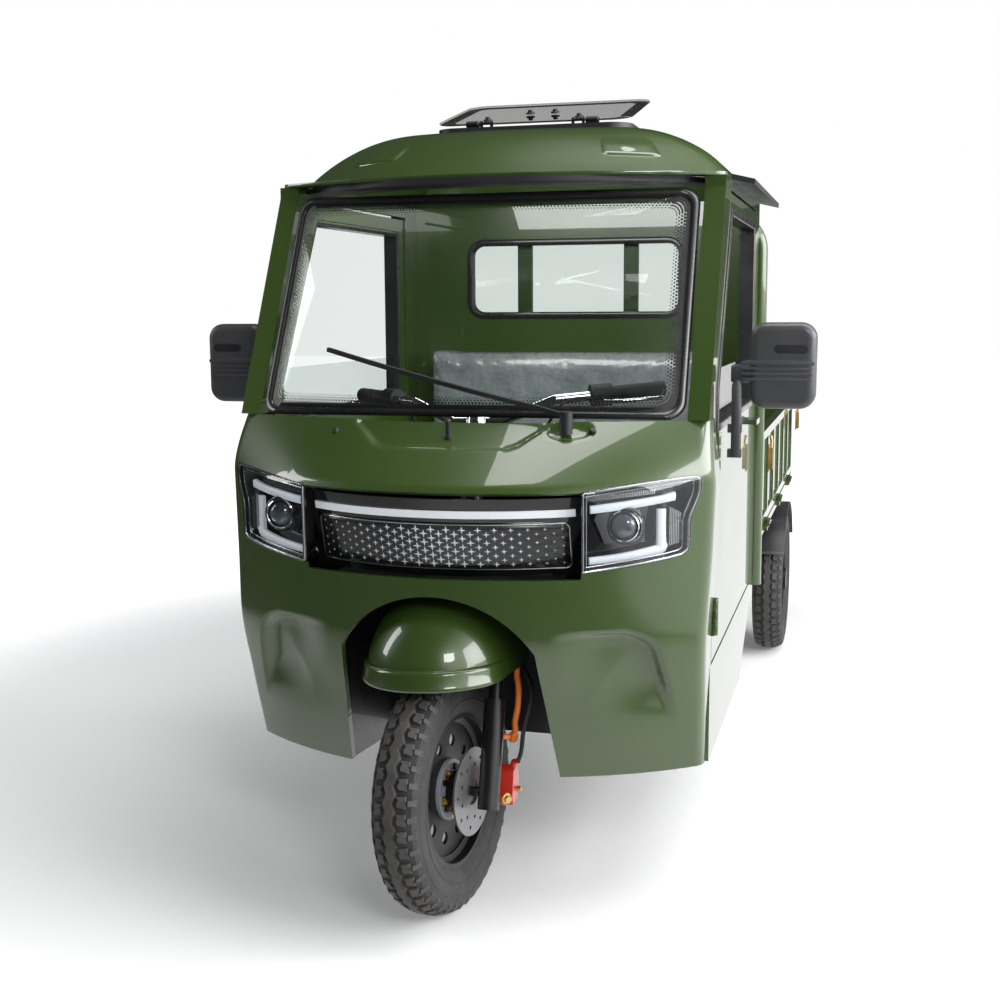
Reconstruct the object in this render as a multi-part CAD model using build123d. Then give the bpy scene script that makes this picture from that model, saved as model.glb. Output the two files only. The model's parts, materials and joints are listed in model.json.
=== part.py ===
from build123d import *
import math
import os

# Three-wheeled mini truck with a closed cab and a drop-side cargo box, in millimetres.
# It faces -Y. Lengths along Y are worked out from the front axle and then moved so that
# the origin is on the ground, midway between the front tyre and the tailgate.

# Wheels
wheelbase = 2400
rear_track = 970
tyre_radius = 254
front_tyre_width = 100
rear_tyre_width = 104
tyre_crown_drop = 7
tyre_shoulder_radius = 18
rim_flange_radius = 166
rim_bead_radius = 152
rim_wall = 4
rim_disc_thickness = 6
rim_seat_width = 16
rim_slope_width = 4
rim_well_depth = 12
rim_disc_offset = 6
rim_disc_gap = 14
bead_width_share = 0.62
bead_inner_share = 0.8
tyre_shoulder_step = 4.5
rim_window_radius = 13
rim_window_count = 10
rim_cut_length = 18
hub_radius = 38
hub_half_length = 52
hub_flange_radius = 62
hub_flange_thickness = 9
wheel_bolt_radius = 7
wheel_bolt_circle_radius = 47
wheel_bolt_count = 5
axle_radius = 10
running_fit = 0.05

# Steering
rake_angle = 16
rest_turn_angle = -8
fork_offset = 35
fork_leg_spacing = 100
slider_radius = 22
stanchion_radius = 15
slider_top = 190
slider_foot = 33
crown_height = 300
crown_thickness = 30
crown_corner = 17
stay_half_length = 13
stay_thickness = 9
stem_radius = 15
collar_radius = 26
collar_length = 28
head_tube_bottom = 470
head_tube_length = 170
head_tube_radius = 26
stem_top = 800
bar_radius = 11
bar_height = 1046
bar_half_width = 365
bar_bend_half_width = 166
bar_sweep = 165
bar_bend_sweep = 41
clamp_half_width = 55
clamp_radius = 25
clamp_height = 44
grip_radius = 17
grip_length = 118
grip_overhang = 6
pod_length = 46
pod_radius = 24
disc_radius = 90
disc_thickness = 4
disc_plane = 62
disc_hole_radius = 4
disc_hole_count = 18
disc_bore_radius = 27
disc_hole_circle_radius = 64
disc_hole_stagger = 9
caliper_length = 76
caliper_width = 34
caliper_depth = 32
caliper_offset = 5
caliper_centre_radius = 70
caliper_corner = 7
caliper_gap = 6
lug_depth = 20
lug_reach = 56
lug_height = 20
lug_x = 90
lug_station = 45
mudguard_rim_height = 500
mudguard_half_width = 147
mudguard_front = -145
mudguard_rear = 180
mudguard_rise = 160
mudguard_wall = 4
mudguard_corner = 62
mudguard_nose_length = 155
MUDGUARD_SECTION_SHARES = [
    # height, half width, front, rear, rear corner and rounded nose, as shares of the rim's sizes
    (0, 1, 1, 1, 1, 1),
    (0.5, 0.94, 0.86, 0.99, 1, 0.95),
    (0.85, 0.7, 0.52, 0.9, 0.9, 0.75),
    (1, 0.34, 0.1, 0.7, 0.6, 0.35),
]

# Cab form: the front panel's plan sections, from the skirt's edge to the windscreen base
panel_wall = 14
seam_gap = 0.3
door_gap = 6
cut_overrun = 400
skirt_height = 280
arch_top_height = 676
nose_bridge_height = 36
grille_band_height = 173
cowl_rise = 125
front_panel_rear = 228
cowl_notch_half_width = 150
cowl_notch_front = 150
NOSE_HEIGHT_SHARES = (0, 0.248, 0.529, 0.76, 1)
NOSE_PLANS = [
    # front at the centre line, plan radius, half width, corner radius
    (19, 784, 503, 46),
    (-38, 765, 508, 50),
    (-92, 740, 514, 54),
    (-95, 722, 521, 57),
    (-97, 720, 526, 58),
]
COWL_PLAN = (50, 1140, 512, 46)
arch_bottom_half_width = 228
arch_shoulder_half_width = 202
arch_crown_height = 114
lamp_inner = 289
lamp_outer = 503
lamp_waist = 484
lamp_foot = 470
lamp_inner_bottom_rise = 11
lamp_inner_top_drop = 1
lamp_outer_top_rise = 22
lamp_outer_low_drop = 19
lamp_waist_top_drop = 63
lamp_waist_bottom_rise = 51
lamp_foot_rise = 36
lamp_depth = 70
lamp_rear = 150
lens_wall = 4
projector_radius = 34
projector_inset = 78
grille_bottom_front = -56
grille_top_front = -104
grille_radius = 479
grille_thickness = 12
grille_cut_depth = 36
grille_cut_overrun = 20
light_bar_drop = 45
light_bar_width = 15
light_bar_half_length = 272
light_bar_proud = 5
insert_bottom_rise = 16
insert_top_drop = 77
insert_half_length = 258
insert_proud = 3

# Windscreen
screen_radius = 1140
screen_top_gap = 24
screen_top_front = 288
screen_depth = 22
glass_thickness = 5
gasket_width = 38
rear_gasket_width_share = 0.45
wiper_pivot_x = 240
wiper_tip_x = -300
wiper_tip_rise = 127
wiper_clearance = 16
wiper_width = 9
wiper_boss_radius = 13
wiper_boss_length = 44
WIPER_POINT_SHARES = (0.08, 0.3, 0.55, 0.8, 1)

# Cab sides, floor and back
# Heights over the floor pan hang from the top of the cab sides
side_outer = 510
side_inner = 466
cab_rear = 1250
back_wall = 25
sill_rise_station = 900
sill_rear_height = 470
side_top_height = 1512
door_front = 250
door_rear = 1130
door_bottom = 490
door_top_gap = 30
door_frame_width = 40
belt_height = 985
pillar_rear_base_height = 1076
pillar_rear_top_station = 505
door_glass_top = 1100
door_glass_pocket = 45
window_corner_rise = 12
window_bend_drop = 20
window_top_inset = 32
hinge_pin_radius = 4
hinge_barrel_radius = 7
hinge_barrel_length = 26
HINGE_HEIGHTS = (590, 940)
handle_length = 85
handle_width = 18
handle_proud = 24
handle_height = 938
handle_corner = 3.5
handle_foot_length = 14
handle_foot_half_height = 6
mirror_inner = 566
mirror_outer = 706
mirror_bottom = 1018
mirror_top = 1202
mirror_depth = 42
mirror_station = 400
mirror_corner = 22
mirror_edge_radius = 12
mirror_arm_radius = 8
stalk_setback = 13
stalk_rise = 55
stalk_radius = 10
stalk_bottom = 913
stalk_x = 540
stalk_foot_spacing = 53
floor_bottom = 340
floor_thickness = 20
firewall_station = 330
sheet_wall = 8
well_front_half_width = 232
well_taper_station = 60
well_rear_half_width = 198
well_top_gap = 14
rear_window_half_width = 305
rear_window_height = 210
rear_window_top_gap = 90
dash_bottom = 866
dash_top = 925
dash_rear = 335
dash_column_radius = 52
dash_edge_radius = 17
instrument_width = 208
instrument_length = 52
instrument_height = 26

# Roof and hatch
roof_rear = 1262
ROOF_SECTIONS = [
    # rise over the cab sides, front at the centre line, plan radius, half width, corner radius, rear
    (2, 290, 705, 503, 60, 1258),
    (56, 378, 705, 462, 70, 1240),
    (100, 452, 720, 392, 80, 1205),
    (136, 600, 760, 270, 90, 1110),
]
roof_wall = 16
visor_front = 262
visor_thickness = 12
visor_cut_height = 36
visor_depth = 120
visor_half_width = 509
visor_corner = 11
drip_outer = 560
drip_thickness = 6
drip_front = 505
hatch_front = 718
hatch_length = 372
hatch_half_width = 245
hatch_ring_width = 42
hatch_corner = 55
hatch_opening_corner = 33
hatch_ring_rise = 162
hatch_glass_thickness = 5
hatch_open_angle = 15
hatch_axis_station = 742
hatch_axis_rise = 12
hatch_hinge_half_spacing = 115
hatch_knuckle_radius = 6
hatch_knuckle_length = 20
hatch_lug_thickness = 5
hatch_pin_radius = 3
hatch_stud_radius = 8
hatch_glass_gap = 2.5
hatch_glass_length = 351

# Seat and battery
seat_front = 700
seat_rear = 1180
seat_half_width = 430
seat_base_top = 640
seat_wall = 12
cushion_thickness = 85
cushion_edge_radius = 21
backrest_front = 1105
backrest_bottom = 735
backrest_top = 1130
backrest_half_width = 407
battery_length = 360
battery_width = 560
battery_height = 210

# Chassis
rail_spacing = 600
rail_width = 40
rail_height = 60
rail_brace_share = 0.25
front_rail_bottom = 280
rear_rail_bottom = 520
rail_kick_start = 1256
rail_kick_end = 1400
rail_rear = 2755
cross_member_width = 40
rear_cross_drop = 12
FRONT_CROSS_STATIONS = (360, 720, 1080)
REAR_CROSS_STATIONS = (1420, 1850, 2300, 2735)
rear_axle_tube_radius = 34
axle_tube_half_length = 400
differential_radius = 105
differential_width = 150
differential_edge_radius = 22
motor_lap = 42
motor_radius = 78
motor_length = 210
spring_half_length = 380
spring_width = 50
spring_leaf_thickness = 8
spring_leaf_count = 4
spring_camber = 70
spring_leaf_step_share = 0.22
rear_mudguard_clearance = 24
rear_mudguard_wall = 4
rear_mudguard_width = 116
rear_mudguard_half_angle = 62
rear_stay_station_share = 0.55
rear_stay_width = 16
rear_stay_length = 24

# Cargo box
cargo_front = 1300
cargo_rear = 2780
cargo_half_width = 525
cargo_floor_top = 600
cargo_floor_thickness = 20
board_thickness = 25
board_top = 880
board_floor_gap = 6
board_end_gap = 8
post_width = 34
board_axis_offset = 8
board_barrel_radius = 7
board_barrel_length = 40
board_rib_width = 26
board_rib_proud = 6
side_board_panels = 6
tailgate_panels = 4
HINGE_ROW_SHARES = (0.12, 0.5, 0.88)
knuckle_length = 20
hoop_radius = 20
hoop_half_width = 512
hoop_top = 1478
hoop_bottom = 456
hoop_corner = 90
hoop_upright_half_spacing = 154
lamp_width = 150
lamp_height = 62
lamp_thickness = 24
lamp_corner = 9
tail_lamp_x = 330
tail_lamp_bottom = 500

# Worked out from the sizes above
rake = math.radians(rake_angle)
rest_turn = math.radians(rest_turn_angle)
front_reach = tyre_radius * math.cos(rest_turn) + tyre_shoulder_radius * abs(math.sin(rest_turn))
board_axis_station = cargo_rear + board_axis_offset
rear_reach = board_axis_station + board_barrel_radius
origin_station = (rear_reach - front_reach) / 2
grille_bottom = arch_top_height + nose_bridge_height
hood_height = grille_bottom + grille_band_height
cowl_height = hood_height + cowl_rise
nose_height = hood_height - skirt_height
NOSE_SECTIONS = [
    (skirt_height + nose_height * share, *plan) for share, plan in zip(NOSE_HEIGHT_SHARES, NOSE_PLANS)
]
COWL_SECTION = (cowl_height, *COWL_PLAN)
arch_shoulder_height = arch_top_height - arch_crown_height
lamp_inner_bottom = grille_bottom + lamp_inner_bottom_rise
lamp_inner_top = hood_height - lamp_inner_top_drop
lamp_outer_top = hood_height + lamp_outer_top_rise
lamp_outer_low = hood_height - lamp_outer_low_drop
lamp_waist_top = hood_height - lamp_waist_top_drop
lamp_waist_bottom = grille_bottom + lamp_waist_bottom_rise
lamp_foot_height = grille_bottom + lamp_foot_rise
light_bar_height = hood_height - light_bar_drop
insert_bottom = grille_bottom + insert_bottom_rise
insert_top = hood_height - insert_top_drop
wiper_tip_height = cowl_height + wiper_tip_rise
well_top_height = arch_top_height + well_top_gap
nose_front = min(plan[0] for plan in NOSE_PLANS)
screen_top_height = side_top_height - screen_top_gap
door_top = side_top_height - door_top_gap
rear_window_top = side_top_height - rear_window_top_gap
rear_window_bottom = rear_window_top - rear_window_height
hatch_ring_top = side_top_height + hatch_ring_rise
hatch_axis_height = hatch_ring_top + hatch_axis_rise
floor_top = floor_bottom + floor_thickness
rail_top = front_rail_bottom + rail_height
hoop_station = cargo_front - hoop_radius - seam_gap
hinge_axis_x = side_outer + hinge_barrel_radius
hinge_axis_y = door_front - door_gap / 2
rear_gasket_width = gasket_width * rear_gasket_width_share


def limits_box(x_limits, y_limits, z_limits):
    """Box between two limits on each axis."""
    size = [limits[1] - limits[0] for limits in (x_limits, y_limits, z_limits)]
    middle = [(limits[1] + limits[0]) / 2 for limits in (x_limits, y_limits, z_limits)]
    return Pos(*middle) * Box(*size)


def mirrored(shape):
    """The same shape on the other side of the centre line."""
    return mirror(shape, about=Plane.YZ)


def both_sides(shape):
    """The shape and its mirror image, as separate solids."""
    return Compound(children=[*shape.solids(), *mirrored(shape).solids()])


def apart(*shapes):
    """Several shapes in one node, left as separate solids."""
    return Compound(children=[solid for shape in shapes for solid in shape.solids()])


def rod(start, end, radius):
    """Round bar between two points."""
    start, end = Vector(*start), Vector(*end)
    span = end - start
    plane = Plane(origin=start, z_dir=span.normalized())
    return extrude(plane * Circle(radius), amount=span.length)


def beam(start, end, width, height):
    """Rectangular bar between two points, its width kept level."""
    start, end = Vector(*start), Vector(*end)
    span = end - start
    level = Vector(0, 0, 1).cross(span)
    plane = Plane(origin=start, x_dir=level.normalized(), z_dir=span.normalized())
    return extrude(plane * Rectangle(width, height), amount=span.length)


def plan_face(height, front, radius, half_width, corner, rear):
    """Level face with an arched front, rounded front corners and a straight rear."""
    centre = front + radius
    reach = math.sqrt((radius - corner) ** 2 - (half_width - corner) ** 2)
    corner_y = centre - reach
    lean = math.asin((half_width - corner) / (radius - corner))
    join_x = radius * math.sin(lean)
    join_y = centre - radius * math.cos(lean)
    middle_angle = (math.pi / 2 + lean) / 2
    middle_x = half_width - corner + corner * math.sin(middle_angle)
    middle_y = corner_y - corner * math.cos(middle_angle)
    right_corner = ThreePointArc(
        (half_width, corner_y, height), (middle_x, middle_y, height), (join_x, join_y, height)
    )
    front_arc = ThreePointArc((join_x, join_y, height), (0, front, height), (-join_x, join_y, height))
    left_corner = ThreePointArc(
        (-join_x, join_y, height), (-middle_x, middle_y, height), (-half_width, corner_y, height)
    )
    left_side = Line((-half_width, corner_y, height), (-half_width, rear, height))
    rear_edge = Line((-half_width, rear, height), (half_width, rear, height))
    right_side = Line((half_width, rear, height), (half_width, corner_y, height))
    edges = [right_corner, front_arc, left_corner, left_side, rear_edge, right_side]
    return make_face(edges)


def nose_form(inset, rear):
    """Solid form of the front panel, its skin moved inwards by the inset."""
    lower = [
        plan_face(height, front + inset, radius - inset, half_width - inset, corner, rear)
        for height, front, radius, half_width, corner in NOSE_SECTIONS
    ]
    height, front, radius, half_width, corner = COWL_SECTION
    cowl = plan_face(height, front + inset, radius - inset, half_width - inset, corner, rear)
    return loft(lower) + loft([lower[-1], cowl], ruled=True)


def front_prism(points, y_limits):
    """Prism along Y from an outline of x and height."""
    outline = make_face(Polyline([(x, y_limits[0], z) for x, z in points], close=True))
    return extrude(outline, amount=y_limits[1] - y_limits[0], dir=(0, 1, 0))


def side_prism(points, x_limits):
    """Prism along X from an outline of station and height."""
    outline = make_face(Polyline([(x_limits[0], y, z) for y, z in points], close=True))
    return extrude(outline, amount=x_limits[1] - x_limits[0], dir=(1, 0, 0))


def arch_opening():
    """Opening for the front wheel: sloping sides and an arched top."""
    low = skirt_height - cut_overrun
    slope = (arch_bottom_half_width - arch_shoulder_half_width) / (arch_shoulder_height - skirt_height)
    low_half_width = arch_bottom_half_width + slope * cut_overrun
    start = -cut_overrun
    shoulder = (arch_shoulder_half_width, start, arch_shoulder_height)
    other = (-arch_shoulder_half_width, start, arch_shoulder_height)
    edges = [
        Line((low_half_width, start, low), shoulder),
        ThreePointArc(shoulder, (0, start, arch_top_height), other),
        Line(other, (-low_half_width, start, low)),
        Line((-low_half_width, start, low), (low_half_width, start, low)),
    ]
    return extrude(make_face(edges), amount=cut_overrun + firewall_station, dir=(0, 1, 0))


def lamp_outline(gap):
    """Outline of the left headlight, drawn in by a gap."""
    return [
        (lamp_inner + gap, lamp_inner_bottom + gap),
        (lamp_inner + gap, lamp_inner_top - gap),
        (lamp_outer - gap, lamp_outer_top - gap),
        (lamp_outer - gap, lamp_outer_low),
        (lamp_waist - gap, lamp_waist_top),
        (lamp_waist - gap, lamp_waist_bottom),
        (lamp_foot - gap, lamp_foot_height + gap),
    ]


def lamp_prism(gap):
    """Room of the left headlight, open to the front."""
    return front_prism(lamp_outline(gap), (-cut_overrun, lamp_rear))


def cab_front_panel():
    """Hood, nose and skirts in one pressing."""
    outer = nose_form(0, front_panel_rear)
    inner = nose_form(panel_wall, front_panel_rear + cut_overrun)
    below_cowl = limits_box(
        (-cut_overrun * 2, cut_overrun * 2),
        (-cut_overrun, front_panel_rear + cut_overrun),
        (skirt_height - cut_overrun, cowl_height - panel_wall),
    )
    shell = outer - (inner & below_cowl)
    shell -= arch_opening()
    lamp_cut = lamp_prism(0)
    shell -= lamp_cut
    shell -= mirrored(lamp_cut)
    grille_cut = limits_box(
        (-lamp_inner, lamp_inner), (-cut_overrun, front_panel_rear), (grille_bottom, hood_height - panel_wall)
    )
    notch = limits_box(
        (-cowl_notch_half_width, cowl_notch_half_width),
        (cowl_notch_front, front_panel_rear + cut_overrun),
        (hood_height, cowl_height + cut_overrun),
    )
    return shell - grille_cut - notch - steering_hole(dash_column_radius)


def grille_form(inset, bottom, top, half_length):
    """Curved block of the grille's front face, leaning back to its bottom."""
    slope = (grille_top_front - grille_bottom_front) / (hood_height - grille_bottom)
    faces = []
    for height in (bottom, top):
        front = grille_bottom_front + slope * (height - grille_bottom) + inset
        sag = grille_radius - math.sqrt(grille_radius**2 - half_length**2)
        end = front + sag
        arc = ThreePointArc((-half_length, end, height), (0, front, height), (half_length, end, height))
        back = end + grille_cut_depth
        sides = Polyline(
            (half_length, end, height), (half_length, back, height),
            (-half_length, back, height), (-half_length, end, height),
        )
        faces.append(make_face([arc, *sides.edges()]))
    return loft(faces, ruled=True)


def grille_layer(outer_inset, inner_inset, bottom, top, half_length):
    """Slice of the grille form between two depths."""
    outer = grille_form(outer_inset, bottom, top, half_length)
    inner = grille_form(inner_inset, bottom - grille_cut_overrun, top + grille_cut_overrun, half_length)
    return outer - inner


def grille_panel():
    half_length = lamp_inner - seam_gap
    top = hood_height - panel_wall - seam_gap
    return grille_layer(0, grille_thickness, grille_bottom + seam_gap, top, half_length)


def grille_light_bar():
    low = light_bar_height - light_bar_width / 2
    high = light_bar_height + light_bar_width / 2
    return grille_layer(-light_bar_proud, 0, low, high, light_bar_half_length)


def grille_insert():
    return grille_layer(-insert_proud, 0, insert_bottom, insert_top, insert_half_length)


def headlight_lens():
    """Clear cover that follows the front panel's skin."""
    layer = nose_form(0, front_panel_rear) - nose_form(lens_wall, front_panel_rear + cut_overrun)
    return layer & lamp_prism(seam_gap)


def headlight_housing():
    """Black tub behind the lens with a round projector in it."""
    outer = nose_form(lens_wall + seam_gap, front_panel_rear)
    room = outer & lamp_prism(seam_gap)
    hollow = outer & lamp_prism(lens_wall + seam_gap)
    inner = nose_form(lamp_depth, front_panel_rear + cut_overrun)
    tub = room - (hollow - inner)
    tub = max(tub.solids(), key=lambda solid: solid.volume)
    middle_x = lamp_inner + projector_inset
    middle_z = (lamp_inner_bottom + lamp_inner_top) / 2
    start = (middle_x, nose_front + lamp_depth, middle_z)
    end = (middle_x, lamp_rear, middle_z)
    projector = rod(start, end, projector_radius) & room
    return tub + projector


def screen_front(x, height):
    """Station of the windscreen's outer face."""
    share = (height - cowl_height) / (screen_top_height - cowl_height)
    centre = COWL_SECTION[1] + (screen_top_front - COWL_SECTION[1]) * share
    return centre + screen_radius - math.sqrt(screen_radius**2 - x**2)


def screen_slab(depth_start, depth_end, half_width):
    """Curved slab between two depths behind the windscreen's outer face."""
    faces = []
    for height in (cowl_height, screen_top_height):
        front = screen_front(half_width, height) + depth_start
        middle = screen_front(0, height) + depth_start
        back = screen_front(half_width, height) + depth_end
        middle_back = screen_front(0, height) + depth_end
        edges = [
            ThreePointArc((-half_width, front, height), (0, middle, height), (half_width, front, height)),
            Line((half_width, front, height), (half_width, back, height)),
            ThreePointArc((half_width, back, height), (0, middle_back, height), (-half_width, back, height)),
            Line((-half_width, back, height), (-half_width, front, height)),
        ]
        faces.append(make_face(edges))
    return loft(faces, ruled=True)


def rounded_window(half_width, bottom, top, corner, y_limits):
    """Rounded rectangular opening along Y."""
    plane = Plane(origin=(0, y_limits[0], (bottom + top) / 2), x_dir=(1, 0, 0), z_dir=(0, -1, 0))
    outline = plane * RectangleRounded(half_width * 2, top - bottom, corner)
    return extrude(outline, amount=-(y_limits[1] - y_limits[0]))


def screen_window(gap):
    """Prism of the clear opening in the gasket."""
    half_width = side_inner - seam_gap - gasket_width - gap
    bottom = cowl_height + gasket_width + gap
    top = screen_top_height - gasket_width / 2 - gap
    return rounded_window(half_width, bottom, top, gasket_width, (-cut_overrun, firewall_station * 2))


def rear_window_slab(depth_limits, margin):
    """Rounded plate in the back wall's window."""
    limits = (cab_rear - back_wall + depth_limits[0], cab_rear - back_wall + depth_limits[1])
    half_width = rear_window_half_width - margin
    bottom = rear_window_bottom + margin
    top = rear_window_top - margin
    return rounded_window(half_width, bottom, top, gasket_width, limits)


def cab_glass():
    """Windscreen and rear window."""
    middle = screen_depth / 2
    slab = screen_slab(middle - glass_thickness / 2, middle + glass_thickness / 2, side_inner - seam_gap)
    windscreen = slab & screen_window(seam_gap)
    middle = back_wall / 2
    depth = (middle - glass_thickness / 2, middle + glass_thickness / 2)
    rear = rear_window_slab(depth, rear_gasket_width + seam_gap)
    return apart(windscreen, rear)


def window_gaskets():
    """Rubber frames of the windscreen and the rear window."""
    front = screen_slab(0, screen_depth, side_inner - seam_gap) - screen_window(0)
    depth = (0, back_wall)
    rear = rear_window_slab(depth, seam_gap) - rear_window_slab(depth, rear_gasket_width)
    return apart(front, rear)


def wiper():
    """Single arm and blade that follow the windscreen, on a boss in front of it."""
    base_y = screen_front(wiper_pivot_x, cowl_height) - wiper_boss_radius * 2
    points = [(wiper_pivot_x, base_y, cowl_height + wiper_boss_radius)]
    for share in WIPER_POINT_SHARES:
        x = wiper_pivot_x + (wiper_tip_x - wiper_pivot_x) * share
        z = cowl_height + wiper_boss_radius + (wiper_tip_height - cowl_height) * share
        points.append((x, screen_front(x, z) - wiper_clearance, z))
    line = Spline(*points)
    section = Plane(origin=line @ 0, z_dir=line % 0) * Rectangle(wiper_width, wiper_width)
    arm = sweep(section, path=line)
    boss = Pos(wiper_pivot_x, base_y, cowl_height) * Cylinder(wiper_boss_radius, wiper_boss_length)
    return arm + (boss - nose_form(-seam_gap, front_panel_rear))


def side_outline():
    """Outer outline of a cab side, as station and height."""
    base_front = screen_front(side_inner, cowl_height)
    top_front = screen_front(side_inner, screen_top_height)
    return [
        (front_panel_rear, skirt_height),
        (front_panel_rear, cowl_height),
        (base_front, cowl_height),
        (top_front, screen_top_height),
        (top_front, side_top_height),
        (cab_rear, side_top_height),
        (cab_rear, sill_rear_height),
        (sill_rise_station, skirt_height),
    ]


def door_outline(gap):
    """Outline of a door, drawn in or out by a gap, as station and height."""
    return [
        (door_front + gap, door_bottom + gap),
        (door_front + gap, pillar_rear_base_height - gap / 2),
        (pillar_rear_top_station + gap, door_top - gap),
        (door_rear - gap, door_top - gap),
        (door_rear - gap, door_bottom + gap),
    ]


def hinge_barrel(bottom, length, bore):
    """Short upright barrel on a door's hinge axis."""
    barrel = Pos(hinge_axis_x, hinge_axis_y, bottom + length / 2) * Cylinder(hinge_barrel_radius, length)
    if bore:
        barrel -= Pos(hinge_axis_x, hinge_axis_y, bottom + length / 2) * Cylinder(bore, length)
    return barrel


def cab_side_frame():
    """Pillars, sill and roof rail of the left side, round the door opening."""
    limits = (side_inner, side_outer)
    ring = side_prism(side_outline(), limits) - side_prism(door_outline(-door_gap), limits)
    for height in HINGE_HEIGHTS:
        for step in (-1, 1):
            bottom = height + step * (hinge_barrel_length + seam_gap) - hinge_barrel_length / 2
            leaf = limits_box(
                (side_outer, hinge_axis_x),
                (front_panel_rear + door_gap, door_front - door_gap),
                (bottom, bottom + hinge_barrel_length),
            )
            ring += hinge_barrel(bottom, hinge_barrel_length, 0) + leaf
        pin_length = hinge_barrel_length * 2
        ring += Pos(hinge_axis_x, hinge_axis_y, height) * Cylinder(hinge_pin_radius, pin_length)
    return ring


def door_shell():
    """Left door: pressed panel with its window frame and hinge barrels."""
    limits = (side_inner + door_gap, side_outer)
    shell = side_prism(door_outline(0), limits)
    shell -= side_prism(door_window_outline(), limits)
    glass = (side_outer + side_inner) / 2
    slot = limits_box(
        (glass - glass_thickness, glass + glass_thickness),
        (door_front + door_frame_width / 2, door_rear - door_frame_width / 2),
        (belt_height - door_glass_pocket, belt_height),
    )
    shell -= slot
    for height in HINGE_HEIGHTS:
        bottom = height - hinge_barrel_length / 2
        leaf = limits_box(
            (side_outer, hinge_axis_x),
            (door_front, door_front + hinge_barrel_radius * 2),
            (bottom, bottom + hinge_barrel_length),
        )
        shell += leaf + hinge_barrel(bottom, hinge_barrel_length, 0)
        shell -= Pos(hinge_axis_x, hinge_axis_y, height) * Cylinder(
            hinge_pin_radius + running_fit, hinge_barrel_length
        )
    return shell


def door_window_outline():
    """Window opening of a door above its belt line."""
    slope = (door_top - pillar_rear_base_height) / (pillar_rear_top_station - door_front)
    belt_front = door_front + door_frame_width
    belt_rear = door_rear - door_frame_width
    top = door_top - door_frame_width
    top_front = pillar_rear_top_station + window_top_inset - door_frame_width / slope
    return [
        (belt_front, belt_height),
        (belt_front, pillar_rear_base_height + window_corner_rise - window_bend_drop),
        (top_front, top),
        (belt_rear, top),
        (belt_rear, belt_height),
    ]


def door_glass():
    """Glass wound most of the way down, standing in its slot."""
    glass = (side_outer + side_inner) / 2
    limits = (glass - glass_thickness / 2, glass + glass_thickness / 2)
    margin = seam_gap * 2
    bottom = belt_height - door_glass_pocket + margin
    slope = (door_top - pillar_rear_base_height) / (pillar_rear_top_station - door_front)
    front = door_front + door_frame_width + margin
    rear = door_rear - door_frame_width - margin
    bend = pillar_rear_base_height - window_bend_drop
    top_front = front + (door_glass_top - bend) / slope + window_bend_drop
    outline = [
        (front, bottom),
        (front, bend),
        (top_front, door_glass_top),
        (rear, door_glass_top),
        (rear, bottom),
    ]
    return side_prism(outline, limits)


def door_handle():
    """Pull handle on two feet near the door's rear edge."""
    end = door_rear - door_frame_width
    start = end - handle_length
    outer = side_outer + handle_proud
    grip = limits_box(
        (outer - handle_width / 2, outer),
        (start, end),
        (handle_height - handle_width / 2, handle_height + handle_width / 2),
    )
    grip = fillet(grip.edges().filter_by(Axis.Y), handle_corner)
    for station in (start, end - handle_foot_length):
        grip += limits_box(
            (side_outer, outer - handle_corner),
            (station, station + handle_foot_length),
            (handle_height - handle_foot_half_height, handle_height + handle_foot_half_height),
        )
    return grip


def door_mirror():
    """Mirror housing on an upright stalk with two feet on the door."""
    housing = limits_box(
        (mirror_inner, mirror_outer),
        (mirror_station - mirror_depth / 2, mirror_station + mirror_depth / 2),
        (mirror_bottom, mirror_top),
    )
    housing = fillet(housing.edges().filter_by(Axis.Y), mirror_corner)
    housing = fillet(housing.faces().sort_by(Axis.Y)[0].edges(), mirror_edge_radius)
    stalk_top = mirror_bottom + stalk_rise
    stalk_y = mirror_station - stalk_setback
    stalk = rod((stalk_x, stalk_y, stalk_bottom), (stalk_x, stalk_y, stalk_top), stalk_radius)
    arm_start = (stalk_x, stalk_y, stalk_top - stalk_radius)
    arm_end = (mirror_inner + mirror_corner, mirror_station, (mirror_bottom + mirror_top) / 2)
    foot = limits_box(
        (side_outer, stalk_x),
        (stalk_y - stalk_radius, stalk_y + stalk_radius),
        (stalk_bottom, stalk_bottom + stalk_radius * 2),
    )
    upper_foot = Pos(0, 0, stalk_foot_spacing) * foot
    return housing + stalk + rod(arm_start, arm_end, mirror_arm_radius) + foot + upper_foot


def cab_back_wall():
    reach = side_inner - seam_gap
    wall = limits_box((-reach, reach), (cab_rear - back_wall, cab_rear), (rail_top, side_top_height))
    wall -= rear_window_slab((-back_wall, back_wall * 2), 0)
    return wall


def well_outline(gap):
    """Plan of the front wheel's room, widened by a gap."""
    half = [
        (well_front_half_width + gap, -cut_overrun),
        (well_front_half_width + gap, well_taper_station),
        (well_rear_half_width + gap, firewall_station + gap),
    ]
    return half + [(-x, y) for x, y in reversed(half)]


def cab_floor():
    """Floor, firewall and front wheel housing in one sheet pressing."""
    floor = limits_box(
        (-side_inner + seam_gap, side_inner - seam_gap),
        (firewall_station, cab_rear - back_wall - seam_gap),
        (floor_bottom, floor_top),
    )
    firewall = limits_box(
        (-side_inner + seam_gap, side_inner - seam_gap),
        (firewall_station, firewall_station + sheet_wall),
        (floor_bottom, dash_bottom - seam_gap),
    )
    housing = well_prism(sheet_wall, skirt_height, well_top_height + sheet_wall)
    housing &= nose_form(panel_wall + seam_gap, firewall_station + cut_overrun)
    room = well_prism(0, skirt_height - cut_overrun, well_top_height)
    return floor + firewall + housing - room - steering_hole(collar_radius + door_gap * 2)


def well_prism(gap, bottom, top):
    points = well_outline(gap)
    outline = make_face(Polyline([(x, y, bottom) for x, y in points], close=True))
    return extrude(outline, amount=top - bottom, dir=(0, 0, 1))


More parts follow.
